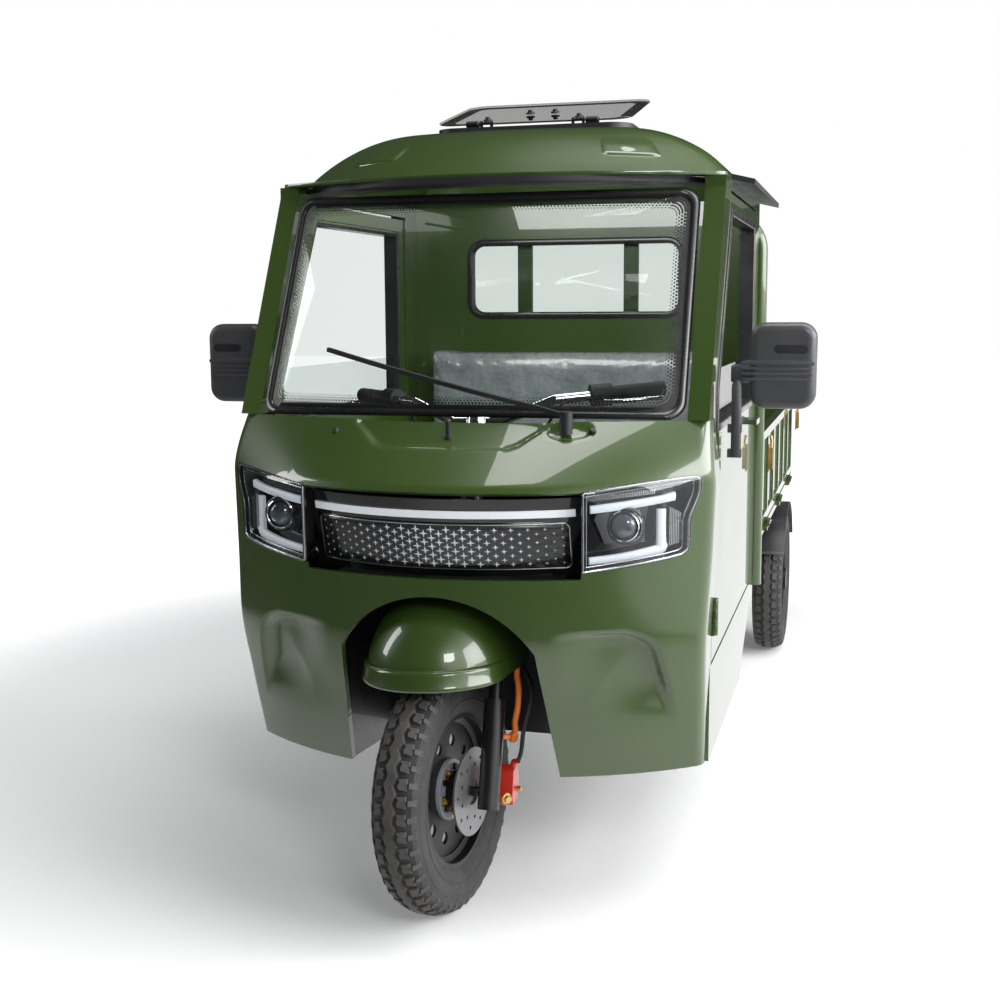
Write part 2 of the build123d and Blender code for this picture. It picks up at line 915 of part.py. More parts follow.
def steering_hole(radius):
    """Round clearance along the steering axis."""
    low = crown_height
    high = stem_top + clamp_height * 2
    return fork_place() * Pos(0, fork_offset, (low + high) / 2) * Cylinder(radius, high - low)


def dashboard():
    """Shelf below the windscreen with an instrument hood and a column hole."""
    half_width = side_inner - seam_gap
    shelf = limits_box(
        (-half_width, half_width), (front_panel_rear + seam_gap, dash_rear), (dash_bottom, dash_top)
    )
    shelf = fillet(shelf.edges().filter_by(Axis.X).sort_by(Axis.Y)[-2:], dash_edge_radius)
    instrument = Box(instrument_width, instrument_length, instrument_height)
    shape = shelf + Pos(0, dash_rear - instrument_length, dash_top) * instrument
    return shape - steering_hole(dash_column_radius)


def fork_place():
    """Frame of the fork: origin at the wheel's centre, upwards along the steering axis."""
    upwards = (0, math.sin(rake), math.cos(rake))
    return Location(Plane(origin=(0, 0, tyre_radius), x_dir=(1, 0, 0), z_dir=upwards))


def steering_axis():
    """Line of the steering axis, from the crown upwards."""
    start = fork_place() * Pos(0, fork_offset, 0)
    return Axis(start.position, (0, math.sin(rake), math.cos(rake)))


def turned(shape):
    """Turns a piece of the steering to the angle at which the truck stands."""
    return shape.rotate(steering_axis(), rest_turn_angle)


def steering_fork():
    """Two legs, crown, stem and mudguard stays."""
    width = (fork_leg_spacing + slider_radius) * 2
    crown = Box(width, fork_offset + slider_radius * 2, crown_thickness)
    crown = fillet(crown.edges().filter_by(Axis.Z), crown_corner)
    shape = Pos(0, fork_offset / 2, crown_height + crown_thickness / 2) * crown
    slider_length = slider_top + slider_foot
    tube_length = crown_height - slider_top
    for side in (-1, 1):
        x = side * fork_leg_spacing
        shape += Pos(x, 0, slider_top - slider_length / 2) * Cylinder(slider_radius, slider_length)
        shape += Pos(x, 0, slider_top + tube_length / 2) * Cylinder(stanchion_radius, tube_length)
    stem_length = stem_top - crown_height
    shape += Pos(0, fork_offset, crown_height + stem_length / 2) * Cylinder(stem_radius, stem_length)
    collar_middle = head_tube_bottom - seam_gap - collar_length / 2
    shape += Pos(0, fork_offset, collar_middle) * Cylinder(collar_radius, collar_length)
    axle = Rot(0, 90, 0) * Cylinder(axle_radius, fork_leg_spacing * 2)
    shape = fork_place() * (shape + axle)
    leg_y = (mudguard_rim_height - tyre_radius) * math.tan(rake)
    low = mudguard_rim_height + slider_radius
    for side in (-1, 1):
        inner = side * fork_leg_spacing
        outer = side * (mudguard_half_width - mudguard_wall - seam_gap)
        shape += limits_box(
            (min(inner, outer), max(inner, outer)),
            (leg_y - stay_half_length, leg_y + stay_half_length),
            (low, low + stay_thickness),
        )
    return turned(shape)


def mudguard_face(height, half_width, front, rear, corner, nose):
    """Level face with a half-oval nose and rounded rear corners."""
    bend = corner * (1 - math.sqrt(2) / 2)
    side_x = half_width - bend
    flat_x = half_width - corner
    nose_arc = EllipticalCenterArc((0, front + nose), half_width, nose, start_angle=180, arc_size=180)
    edges = [
        nose_arc,
        Line((half_width, front + nose), (half_width, rear - corner)),
        ThreePointArc((half_width, rear - corner), (side_x, rear - bend), (flat_x, rear)),
        Line((flat_x, rear), (-flat_x, rear)),
        ThreePointArc((-flat_x, rear), (-side_x, rear - bend), (-half_width, rear - corner)),
        Line((-half_width, rear - corner), (-half_width, front + nose)),
    ]
    return Pos(0, 0, height) * make_face(edges)


def mudguard_form(inset):
    """Domed form of the front mudguard, lofted through rounded plan sections."""
    faces = []
    for rise_share, width_share, front_share, rear_share, corner_share, nose_share in MUDGUARD_SECTION_SHARES:
        height = mudguard_rim_height + (mudguard_rise - inset) * rise_share
        half_width = (mudguard_half_width - inset) * width_share
        front = (mudguard_front + inset) * front_share
        rear = (mudguard_rear - inset) * rear_share
        nose = (mudguard_nose_length - inset) * nose_share
        faces.append(mudguard_face(height, half_width, front, rear, mudguard_corner * corner_share, nose))
    return loft(faces)


def front_mudguard():
    shell = mudguard_form(0) - mudguard_form(mudguard_wall)
    shell -= steering_hole(stem_radius + door_gap / 2)
    return turned(shell)


def brake_caliper():
    """Caliper over the disc's rear edge, on the left leg."""
    body = Box(caliper_depth, caliper_width, caliper_length)
    body = fillet(body.edges().filter_by(Axis.X), caliper_corner)
    body = Pos(disc_plane + caliper_offset, caliper_centre_radius, 0) * body
    slot = Rot(0, 90, 0) * Cylinder(disc_radius + caliper_gap, disc_thickness + caliper_gap * 2)
    lug = Pos(lug_x, lug_station, 0) * Box(lug_depth, lug_reach, lug_height)
    legs = Pos(fork_leg_spacing, 0, slider_top / 2) * Cylinder(slider_radius + seam_gap, slider_top * 2)
    shape = body + lug - Pos(disc_plane, 0, 0) * slot
    shape = fork_place() * (shape - legs)
    return turned(max(shape.solids(), key=lambda solid: solid.volume))


def bar_path():
    """Points of the handlebar's left half."""
    top = steering_axis_point(stem_top - clamp_height / 2)
    bend = (bar_bend_half_width, top[1] + bar_bend_sweep, bar_height - bar_radius)
    end = (bar_half_width, top[1] + bar_sweep, bar_height)
    return [(clamp_half_width, top[1], top[2]), bend, end]


def steering_axis_point(length):
    point = (fork_place() * Pos(0, fork_offset, length)).position
    return (point.X, point.Y, point.Z)


def handlebar():
    """Swept bar in a clamp on top of the stem."""
    points = bar_path()
    half = [rod(a, b, bar_radius) for a, b in zip(points, points[1:])]
    joint = Pos(*points[1]) * Sphere(bar_radius)
    shape = rod((-points[0][0], *points[0][1:]), points[0], bar_radius)
    shape += Pos(*points[0]) * Sphere(bar_radius)
    shape += Pos(-points[0][0], *points[0][1:]) * Sphere(bar_radius)
    for piece in half + [joint]:
        shape += piece
        shape += mirrored(piece)
    clamp = Pos(0, fork_offset, stem_top - clamp_height / 2) * Cylinder(clamp_radius, clamp_height)
    shape += fork_place() * clamp
    stem = fork_place() * Pos(0, fork_offset, stem_top / 2) * Cylinder(stem_radius, stem_top)
    return turned(shape - stem)


def handlebar_grips():
    """Rubber grips and switch pods over the bar's ends."""
    points = bar_path()
    start, end = Vector(*points[1]), Vector(*points[2])
    along = (end - start).normalized()
    tip = end + along * grip_overhang
    grip = rod(tuple(tip - along * grip_length), tuple(tip), grip_radius)
    pod_end = tip - along * (grip_length - seam_gap)
    pod = rod(tuple(pod_end - along * pod_length), tuple(pod_end), pod_radius)
    bar = rod(points[1], points[2], bar_radius)
    left = grip + pod - bar
    return turned(both_sides(left))


def tyre(width):
    """Tyre section turned about X."""
    half = width / 2
    bead_half = half * bead_width_share
    bead_inner = bead_half * bead_inner_share
    shoulder = tyre_radius - tyre_crown_drop
    flank = shoulder - tyre_shoulder_radius
    tread_half = half - tyre_shoulder_radius
    flank_half = half - tyre_shoulder_step
    side = (flank + rim_bead_radius) / 2
    inner = rim_bead_radius + seam_gap
    rise = rim_flange_radius + rim_wall
    edges = [
        ThreePointArc((-tread_half, 0, shoulder), (0, 0, tyre_radius), (tread_half, 0, shoulder)),
        Line((tread_half, 0, shoulder), (flank_half, 0, flank)),
        ThreePointArc((flank_half, 0, flank), (half, 0, side), (bead_half, 0, rise)),
        Line((bead_half, 0, rise), (bead_half, 0, inner)),
        Line((bead_half, 0, inner), (bead_inner, 0, inner)),
        Line((bead_inner, 0, inner), (bead_inner, 0, rise)),
        ThreePointArc((bead_inner, 0, rise), (0, 0, flank), (-bead_inner, 0, rise)),
        Line((-bead_inner, 0, rise), (-bead_inner, 0, inner)),
        Line((-bead_inner, 0, inner), (-bead_half, 0, inner)),
        Line((-bead_half, 0, inner), (-bead_half, 0, rise)),
        ThreePointArc((-bead_half, 0, rise), (-half, 0, side), (-flank_half, 0, flank)),
        Line((-flank_half, 0, flank), (-tread_half, 0, shoulder)),
    ]
    return revolve(make_face(edges), Axis.X)


def wheel_disc(radius, thickness):
    """Round plate standing across the wheel's axle."""
    return Rot(0, 90, 0) * Cylinder(radius, thickness)


def rim(width, face):
    """Pressed wheel: rim, windowed disc, hub and bolts, its face towards the given side."""
    flange = width / 2 * bead_width_share + seam_gap
    seat_end = flange - rim_seat_width
    well_end = seat_end - rim_slope_width
    well_radius = rim_bead_radius - rim_well_depth
    half_profile = [
        (well_end, well_radius),
        (seat_end, rim_bead_radius),
        (flange, rim_bead_radius),
        (flange, rim_flange_radius),
        (flange + rim_wall, rim_flange_radius),
        (flange + rim_wall, rim_bead_radius - rim_wall),
        (seat_end + rim_wall / 2, rim_bead_radius - rim_wall),
        (well_end + rim_wall / 2, well_radius - rim_wall),
    ]
    profile = half_profile + [(-x, radius) for x, radius in reversed(half_profile)]
    outline = make_face(Polyline([(x, 0, z) for x, z in profile], close=True))
    shape = revolve(outline, Axis.X)
    disc_outer = rim_bead_radius - rim_disc_gap
    disc_x = face * rim_disc_offset
    shape += Pos(disc_x, 0, 0) * wheel_disc(disc_outer, rim_disc_thickness)
    window_circle = (disc_outer + hub_flange_radius) / 2
    for index in range(rim_window_count):
        turn = Rot(index * 360 / rim_window_count, 0, 0)
        shape -= turn * Pos(disc_x, 0, window_circle) * wheel_disc(rim_window_radius, rim_cut_length)
    shape += wheel_disc(hub_radius, hub_half_length * 2)
    hub_flange = wheel_disc(hub_flange_radius, hub_flange_thickness)
    shape += Pos(disc_x + face * rim_disc_thickness, 0, 0) * hub_flange
    bolt_x = disc_x + face * rim_disc_thickness * 2
    for index in range(wheel_bolt_count):
        turn = Rot(index * 360 / wheel_bolt_count, 0, 0)
        bolt = wheel_disc(wheel_bolt_radius, rim_disc_thickness * 2)
        shape += turn * Pos(bolt_x, 0, wheel_bolt_circle_radius) * bolt
    return shape - wheel_disc(axle_radius + running_fit, cut_overrun)


def front_wheel(shape):
    """Puts a front wheel piece at its axle, turned with the steering."""
    return turned(fork_place() * shape)


def brake_disc():
    """Drilled disc on a carrier that stands on the hub's end."""
    disc = wheel_disc(disc_radius, disc_thickness) - wheel_disc(disc_bore_radius, disc_thickness * 2)
    for index in range(disc_hole_count):
        radius = disc_hole_circle_radius + disc_hole_stagger * (index % 2 * 2 - 1)
        hole = Pos(0, 0, radius) * wheel_disc(disc_hole_radius, disc_thickness * 2)
        disc -= Rot(index * 360 / disc_hole_count, 0, 0) * hole
    carrier_end = disc_plane - disc_thickness / 2
    carrier = wheel_disc(hub_radius, carrier_end - hub_half_length)
    shape = Pos(disc_plane, 0, 0) * disc + Pos((hub_half_length + carrier_end) / 2, 0, 0) * carrier
    return shape - wheel_disc(axle_radius + running_fit, fork_leg_spacing * 2)


def rear_wheel(shape, side):
    return Pos(side * rear_track / 2, wheelbase, tyre_radius) * shape


def roof_form(inset):
    """Domed roof form, moved inwards and down by the inset."""
    faces = []
    for rise, front, radius, half_width, corner, rear in ROOF_SECTIONS:
        height = side_top_height + rise - (inset if rise > ROOF_SECTIONS[0][0] else 0)
        outline = plan_face(height, front + inset, radius - inset, half_width - inset, corner, rear - inset)
        faces.append(outline)
    return loft(faces)


def hatch_opening(gap):
    """Room inside the hatch ring, along Z."""
    half_width = hatch_half_width - hatch_ring_width - gap
    length = hatch_length - hatch_ring_width * 2 - gap * 2
    outline = RectangleRounded(half_width * 2, length, hatch_opening_corner)
    outline = Pos(0, hatch_front + hatch_length / 2, side_top_height) * outline
    return extrude(outline, amount=hatch_ring_rise + cut_overrun)


def roof_shell():
    shell = roof_form(0) - roof_form(roof_wall)
    low = side_top_height
    front = screen_top_front - visor_thickness
    flange = plan_face(low, front, screen_radius, side_outer - seam_gap, gasket_width, roof_rear)
    flange = extrude(flange, amount=ROOF_SECTIONS[0][0] + visor_thickness / 2)
    front = screen_top_front + gasket_width
    room = plan_face(low, front, screen_radius, side_inner, gasket_width, cab_rear - back_wall)
    room = extrude(room, amount=visor_cut_height)
    flange -= room
    return shell + flange - hatch_opening(0)


def roof_trim():
    """Front visor lip and the two drip rails."""
    low = side_top_height - visor_thickness
    radius = ROOF_SECTIONS[0][2]
    outer = plan_face(low, visor_front, radius, visor_half_width, visor_corner, cab_rear / 2)
    inner = plan_face(low, visor_front + visor_depth, radius, visor_half_width, visor_corner, cab_rear)
    visor = extrude(outer, amount=visor_thickness) - extrude(inner, amount=visor_thickness)
    post = limits_box(
        (side_inner - seam_gap, visor_half_width * 2), (0, cab_rear), (low - visor_thickness, side_top_height)
    )
    visor -= post
    visor -= mirrored(post)
    profile = [
        (side_outer + seam_gap, side_top_height),
        (drip_outer, side_top_height - drip_thickness * 2),
        (drip_outer, side_top_height),
        (side_outer + seam_gap, side_top_height + drip_thickness * 2),
    ]
    drip = front_prism(profile, (drip_front, roof_rear))
    return apart(max(visor.solids(), key=lambda solid: solid.volume), drip, mirrored(drip))


def hatch_base():
    """Raised ring on the roof with two pairs of hinge lugs."""
    outline = RectangleRounded(hatch_half_width * 2, hatch_length, hatch_corner)
    outline = Pos(0, hatch_front + hatch_length / 2, side_top_height) * outline
    ring = extrude(outline, amount=hatch_ring_rise)
    ring -= hatch_opening(0)
    ring -= roof_form(0)
    ring = max(ring.solids(), key=lambda solid: solid.volume)
    for side in (-1, 1):
        middle = side * hatch_hinge_half_spacing
        for step in (-1, 1):
            inner = middle + step * (hatch_knuckle_length / 2 + seam_gap)
            outer = inner + step * hatch_lug_thickness
            lug = limits_box(
                (min(inner, outer), max(inner, outer)),
                (hatch_axis_station - hatch_knuckle_radius, hatch_axis_station + hatch_knuckle_radius),
                (hatch_ring_top - hatch_lug_thickness, hatch_axis_height),
            )
            centre = Pos((inner + outer) / 2, hatch_axis_station, hatch_axis_height)
            ring += lug + centre * Rot(0, 90, 0) * Cylinder(hatch_knuckle_radius, hatch_lug_thickness)
        ring += Pos(middle, hatch_axis_station, hatch_axis_height) * Rot(0, 90, 0) * Cylinder(
            hatch_pin_radius, hatch_knuckle_length + hatch_lug_thickness
        )
    return ring


def hatch_glass():
    """Tinted hatch plate with hinge knuckles, tilted open."""
    low = hatch_axis_height + hatch_knuckle_radius + hatch_glass_gap
    outline = RectangleRounded(hatch_half_width * 2, hatch_glass_length, hatch_corner)
    plate = Pos(0, hatch_front + hatch_length / 2, low) * extrude(outline, amount=hatch_glass_thickness)
    for side in (-1, 1):
        middle = side * hatch_hinge_half_spacing
        web = limits_box(
            (middle - hatch_knuckle_length / 2, middle + hatch_knuckle_length / 2),
            (hatch_axis_station - hatch_knuckle_radius, hatch_axis_station + hatch_knuckle_radius),
            (hatch_axis_height, low),
        )
        centre = Pos(middle, hatch_axis_station, hatch_axis_height)
        plate += web + centre * Rot(0, 90, 0) * Cylinder(hatch_knuckle_radius, hatch_knuckle_length)
        plate -= centre * Rot(0, 90, 0) * Cylinder(hatch_pin_radius + running_fit, hatch_knuckle_length)
        plate += Pos(middle, hatch_axis_station, low + hatch_glass_thickness) * Cylinder(
            hatch_stud_radius, hatch_glass_thickness * 2
        )
    axis = Axis((0, hatch_axis_station, hatch_axis_height), (1, 0, 0))
    return plate.rotate(axis, hatch_open_angle)


def seat_base():
    """Hollow steel box under the bench."""
    outer = limits_box(
        (-seat_half_width, seat_half_width), (seat_front, seat_rear), (floor_top, seat_base_top)
    )
    inner = limits_box(
        (-seat_half_width + seat_wall, seat_half_width - seat_wall),
        (seat_front + seat_wall, seat_rear - seat_wall),
        (floor_top - seat_wall, seat_base_top - seat_wall),
    )
    return outer - inner


def seat_cushion():
    low = seat_base_top + seam_gap
    cushion = limits_box(
        (-seat_half_width, seat_half_width),
        (seat_front, backrest_front - seam_gap),
        (low, low + cushion_thickness),
    )
    return fillet(cushion.edges(), cushion_edge_radius)


def seat_backrest():
    rest = limits_box(
        (-backrest_half_width, backrest_half_width),
        (backrest_front, cab_rear - back_wall - seam_gap),
        (backrest_bottom, backrest_top),
    )
    return fillet(rest.edges(), cushion_edge_radius)


def battery_pack():
    """Heavy battery block inside the seat base."""
    middle = (seat_front + seat_rear) / 2
    return limits_box(
        (-battery_width / 2, battery_width / 2),
        (middle - battery_length / 2, middle + battery_length / 2),
        (floor_top, floor_top + battery_height),
    )


def chassis_frame():
    """Ladder frame that rises behind the cab, with the head tube's front frame."""
    front_middle = front_rail_bottom + rail_height / 2
    rear_middle = rear_rail_bottom + rail_height / 2
    rail_x = rail_spacing / 2
    outline = [
        (firewall_station - rail_width, front_rail_bottom),
        (firewall_station - rail_width, rail_top),
        (rail_kick_start, rail_top),
        (rail_kick_end, rear_rail_bottom + rail_height),
        (rail_rear, rear_rail_bottom + rail_height),
        (rail_rear, rear_rail_bottom),
        (rail_kick_end + rail_height / 2, rear_rail_bottom),
        (rail_kick_start + rail_height / 2, front_rail_bottom),
    ]
    rail = side_prism(outline, (rail_x - rail_width / 2, rail_x + rail_width / 2))
    shape = rail + mirrored(rail)
    for station in FRONT_CROSS_STATIONS:
        limits = (station - cross_member_width / 2, station + cross_member_width / 2)
        shape += limits_box((-rail_x, rail_x), limits, (front_rail_bottom, rail_top))
    reach = cargo_half_width - board_thickness
    for station in REAR_CROSS_STATIONS:
        limits = (station - cross_member_width / 2, station + cross_member_width / 2)
        low = rear_rail_bottom + rear_cross_drop
        shape += limits_box((-reach, reach), limits, (low, rear_rail_bottom + rail_height))
    head_middle = head_tube_bottom + head_tube_length / 2
    head_place = fork_place() * Pos(0, fork_offset, head_middle)
    shape += head_place * Cylinder(head_tube_radius, head_tube_length)
    _, head_y, head_z = steering_axis_point(head_middle)
    brace_y = head_y + rail_width / 2
    brace_foot_y = firewall_station - rail_width / 2
    for x in (-rail_x, rail_x):
        shape += beam((0, head_y, head_z), (x, brace_y, head_z - rail_height / 2), rail_width, rail_width)
        top = (x, brace_y, head_z - rail_height * rail_brace_share)
        shape += beam(top, (x, brace_foot_y, front_middle), rail_width, rail_width)
    shape -= head_place * Cylinder(stem_radius + running_fit, head_tube_length + rail_width)
    for x in (-rail_x, rail_x):
        for step in (-1, 1):
            station = wheelbase + step * (spring_half_length - spring_width)
            shape += limits_box(
                (x - spring_width / 2, x + spring_width / 2),
                (station - spring_width / 2, station + spring_width / 2),
                (spring_eye_height(), rear_middle),
            )
    return shape


def spring_eye_height():
    return tyre_radius + rear_axle_tube_radius + spring_leaf_thickness * spring_leaf_count + spring_camber


def rear_axle():
    """Axle tube with differential and motor housings, and a spindle at each end."""
    centre = Pos(0, wheelbase, tyre_radius)
    tube = centre * wheel_disc(rear_axle_tube_radius, axle_tube_half_length * 2)
    spindle = centre * wheel_disc(axle_radius, rear_track + hub_half_length * 2)
    differential = centre * wheel_disc(differential_radius, differential_width)
    differential = fillet(differential.edges(), differential_edge_radius)
    motor_station = wheelbase - differential_radius + motor_lap - motor_length / 2
    motor = Pos(0, motor_station, tyre_radius) * Rot(90, 0, 0) * Cylinder(motor_radius, motor_length)
    return tube + spindle + differential + motor


def leaf_springs():
    """Leaf packs over the axle, one on each side."""
    base = tyre_radius + rear_axle_tube_radius
    full_reach = spring_half_length - spring_width
    x = rail_spacing / 2 - spring_width / 2
    shape = None
    for index in range(spring_leaf_count):
        reach = full_reach * (1 - index * spring_leaf_step_share)
        low = base + (spring_leaf_count - 1 - index) * spring_leaf_thickness
        lift = spring_camber * (reach / full_reach) ** 2
        ends = ((x, wheelbase - reach, low + lift), (x, wheelbase + reach, low + lift))
        lower = ThreePointArc(ends[0], (x, wheelbase, low), ends[1])
        upper = Pos(0, 0, spring_leaf_thickness) * lower
        closing = [Line(lower @ 0, upper @ 0), Line(lower @ 1, upper @ 1)]
        leaf = extrude(make_face([lower, *upper.edges(), *closing]), amount=spring_width, dir=(1, 0, 0))
        shape = leaf if shape is None else shape + leaf
    return both_sides(shape)


def rear_mudguard():
    """Left rear mudguard arched over its tyre, on two stays."""
    inner = tyre_radius + rear_mudguard_clearance
    outer = inner + rear_mudguard_wall
    half = math.radians(rear_mudguard_half_angle)
    x = rear_track / 2 - rear_mudguard_width / 2

    def point(radius, angle):
        return (x, wheelbase + radius * math.sin(angle), tyre_radius + radius * math.cos(angle))

    edges = [
        ThreePointArc(point(inner, -half), point(inner, 0), point(inner, half)),
        Line(point(inner, half), point(outer, half)),
        ThreePointArc(point(outer, half), point(outer, 0), point(outer, -half)),
        Line(point(outer, -half), point(inner, -half)),
    ]
    guard = extrude(make_face(edges), amount=rear_mudguard_width, dir=(1, 0, 0))
    height = tyre_radius + outer * math.cos(math.asin(rear_stay_station_share))
    for step in (-1, 1):
        station = wheelbase + step * outer * rear_stay_station_share
        guard += limits_box(
            (x, x + rear_stay_width),
            (station - rear_stay_length / 2, station + rear_stay_length / 2),
            (height - rear_mudguard_wall, cargo_floor_top - cargo_floor_thickness),
        )
    return guard


def cargo_bed():
    """Floor of the cargo box with its two rear corner posts."""
    low = cargo_floor_top - cargo_floor_thickness
    bed = limits_box((-cargo_half_width, cargo_half_width), (cargo_front, cargo_rear), (low, cargo_floor_top))
    post = limits_box(
        (cargo_half_width - post_width, cargo_half_width),
        (cargo_rear - post_width, cargo_rear),
        (cargo_floor_top, board_top),
    )
    return bed + post + mirrored(post)


def across_y(shape):
    """Turns a piece that stands along Z so that it lies along Y."""
    return Rot(90, 0, 0) * shape


def board(limits, panels):
    """Pressed board on Y between two limits, hinged outside its lower edge at the bed's edge."""
    start, end = limits
    low = cargo_floor_top + board_floor_gap
    shape = limits_box((cargo_half_width - board_thickness, cargo_half_width), limits, (low, board_top))
    pitch = (end - start) / panels
    for index in range(panels):
        middle = start + pitch * (index + 1 / 2)
        reach = (pitch - board_rib_width) / 2
        shape -= limits_box(
            (cargo_half_width - board_rib_proud, cargo_half_width),
            (middle - reach, middle + reach),
            (low + board_rib_width, board_top - board_rib_width),
        )
    axis_x = cargo_half_width + board_axis_offset
    for share in HINGE_ROW_SHARES:
        middle = start + (end - start) * share
        place = Pos(axis_x, middle, cargo_floor_top)
        web = limits_box(
            (cargo_half_width - board_thickness, axis_x),
            (middle - board_barrel_length / 2, middle + board_barrel_length / 2),
            (low, low + board_barrel_radius),
        )
        shape += place * across_y(Cylinder(board_barrel_radius, board_barrel_length)) + web
        shape -= place * across_y(Cylinder(hinge_pin_radius + running_fit, board_barrel_length))
    return shape


def board_hinges(limits):
    """Fixed knuckles and pins of a board, on the bed's edge."""
    start, end = limits
    axis_x = cargo_half_width + board_axis_offset
    shape = None
    for share in HINGE_ROW_SHARES:
        middle = start + (end - start) * share
        pin = across_y(Cylinder(hinge_pin_radius, board_barrel_length * 2))
        pin = Pos(axis_x, middle, cargo_floor_top) * pin
        for step in (-1, 1):
            station = middle + step * ((board_barrel_length + knuckle_length) / 2 + seam_gap)
            knuckle = across_y(Cylinder(board_barrel_radius, knuckle_length))
            leaf = limits_box(
                (cargo_half_width, axis_x),
                (station - knuckle_length / 2, station + knuckle_length / 2),
                (cargo_floor_top - cargo_floor_thickness, cargo_floor_top),
            )
            pin += Pos(axis_x, station, cargo_floor_top) * knuckle + leaf
        shape = pin if shape is None else shape + pin
    return shape


def side_board_limits():
    """Stations of a drop side's two ends."""
    return cargo_front + board_end_gap + board_thickness, cargo_rear - post_width - board_end_gap


def tailgate_limits():
    """Ends of the tailgate between the corner posts."""
    reach = cargo_half_width - post_width - board_end_gap
    return -reach, reach


def at_rear(shape):
    """Turns a piece made for the left side so that it stands at the bed's rear edge."""
    return Pos(0, cargo_rear - cargo_half_width, 0) * (Rot(0, 0, 90) * shape)


def side_board():
    return board(side_board_limits(), side_board_panels)


def tailgate():
    return at_rear(board(tailgate_limits(), tailgate_panels))


def cargo_bed_with_hinges():
    sides = board_hinges(side_board_limits())
    return cargo_bed() + sides + mirrored(sides) + at_rear(board_hinges(tailgate_limits()))


def cargo_headboard():
    """Tube hoop behind the cab with two uprights and a low front board."""
    corner_x = hoop_half_width - hoop_corner
    corner_z = hoop_top - hoop_corner
    diagonal = hoop_corner * math.sqrt(2) / 2
    foot = (hoop_half_width, hoop_station, hoop_bottom)
    bend_start = (hoop_half_width, hoop_station, corner_z)
    bend_middle = (corner_x + diagonal, hoop_station, corner_z + diagonal)
    bend_end = (corner_x, hoop_station, hoop_top)
    path = [
        Line(foot, bend_start),
        ThreePointArc(bend_start, bend_middle, bend_end),
        Line(bend_end, (0, hoop_station, hoop_top)),
    ]
    section = Plane(origin=foot, z_dir=(0, 0, 1)) * Circle(hoop_radius)
    half = sweep(section, path=Wire(path))
    low = cargo_floor_top - cargo_floor_thickness
    upright = limits_box(
        (hoop_upright_half_spacing - hoop_radius, hoop_upright_half_spacing + hoop_radius),
        (hoop_station - hoop_radius / 2, hoop_station + hoop_radius / 2),
        (low, hoop_top),
    )
    front_board = limits_box(
        (-hoop_half_width, hoop_half_width), (hoop_station, hoop_station + hoop_radius), (low, board_top)
    )
    return half + mirrored(half) + upright + mirrored(upright) + front_board


def tail_lamps():
    """Rear lamp blocks under the bed's rear edge."""
    lamp = limits_box(
        (tail_lamp_x, tail_lamp_x + lamp_width),
        (rail_rear + seam_gap, rail_rear + lamp_thickness),
        (tail_lamp_bottom, tail_lamp_bottom + lamp_height),
    )
    lamp = fillet(lamp.edges().filter_by(Axis.Y), lamp_corner)
    return both_sides(lamp)


def front_half_pieces():
    """Pieces of the cab and the front wheel, by node."""
    frame_side = cab_side_frame()
    lens = headlight_lens()
    housing = headlight_housing()
    return {
        "cab_front_panel": cab_front_panel(),
        "grille_panel": grille_panel(),
        "grille_light_bar": grille_light_bar(),
        "grille_insert": grille_insert(),
        "headlight_housings": both_sides(housing),
        "headlight_lenses": both_sides(lens),
        "cab_glass": cab_glass(),
        "window_gaskets": window_gaskets(),
        "wiper": wiper(),
        "cab_side_frames": both_sides(frame_side),
        "cab_back_wall": cab_back_wall(),
        "cab_floor": cab_floor(),
        "dashboard": dashboard(),
        "roof_shell": roof_shell(),
        "roof_trim": roof_trim(),
        "hatch_base": hatch_base(),
        "hatch_glass": hatch_glass(),
        "seat_base": seat_base(),
        "seat_cushion": seat_cushion(),
        "seat_backrest": seat_backrest(),
        "battery_pack": battery_pack(),
        "steering_fork": steering_fork(),
        "front_mudguard": front_mudguard(),
        "brake_caliper": brake_caliper(),
        "handlebar": handlebar(),
        "handlebar_grips": handlebar_grips(),
        "front_tyre": front_wheel(tyre(front_tyre_width)),
        "front_rim": front_wheel(rim(front_tyre_width, 1)),
        "brake_disc": front_wheel(brake_disc()),
    }


def sided_pieces():
    """Pieces that each side has on a body of its own, by node."""
    left = {
        "door_shell": door_shell(),
        "door_glass": door_glass(),
        "door_handle": door_handle(),
        "door_mirror": door_mirror(),
        "side_board": side_board(),
        "rear_tyre": rear_wheel(tyre(rear_tyre_width), 1),
        "rear_rim": rear_wheel(rim(rear_tyre_width, 1), 1),
    }
    pieces = {}
    for name, shape in left.items():
        pieces[name + "_left"] = shape
        pieces[name + "_right"] = mirrored(shape)
    return pieces


def rear_half_pieces():
    """Pieces of the chassis and the cargo box, by node."""
    return {
        "chassis_frame": chassis_frame(),
        "rear_axle": rear_axle(),
        "leaf_springs": leaf_springs(),
        "rear_mudguards": both_sides(rear_mudguard()),
        "cargo_bed": cargo_bed_with_hinges(),
        "cargo_headboard": cargo_headboard(),
        "tailgate": tailgate(),
        "tail_lamps": tail_lamps(),
    }


os.makedirs("parts", exist_ok=True)
pieces = {**front_half_pieces(), **sided_pieces(), **rear_half_pieces()}
for name, shape in pieces.items():
    export_step(Pos(0, -origin_station, 0) * shape, f"parts/{name}.step")
print("origin station", round(origin_station, 3))
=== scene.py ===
import json
import math
import bmesh
import bpy
from mathutils import Matrix, Vector


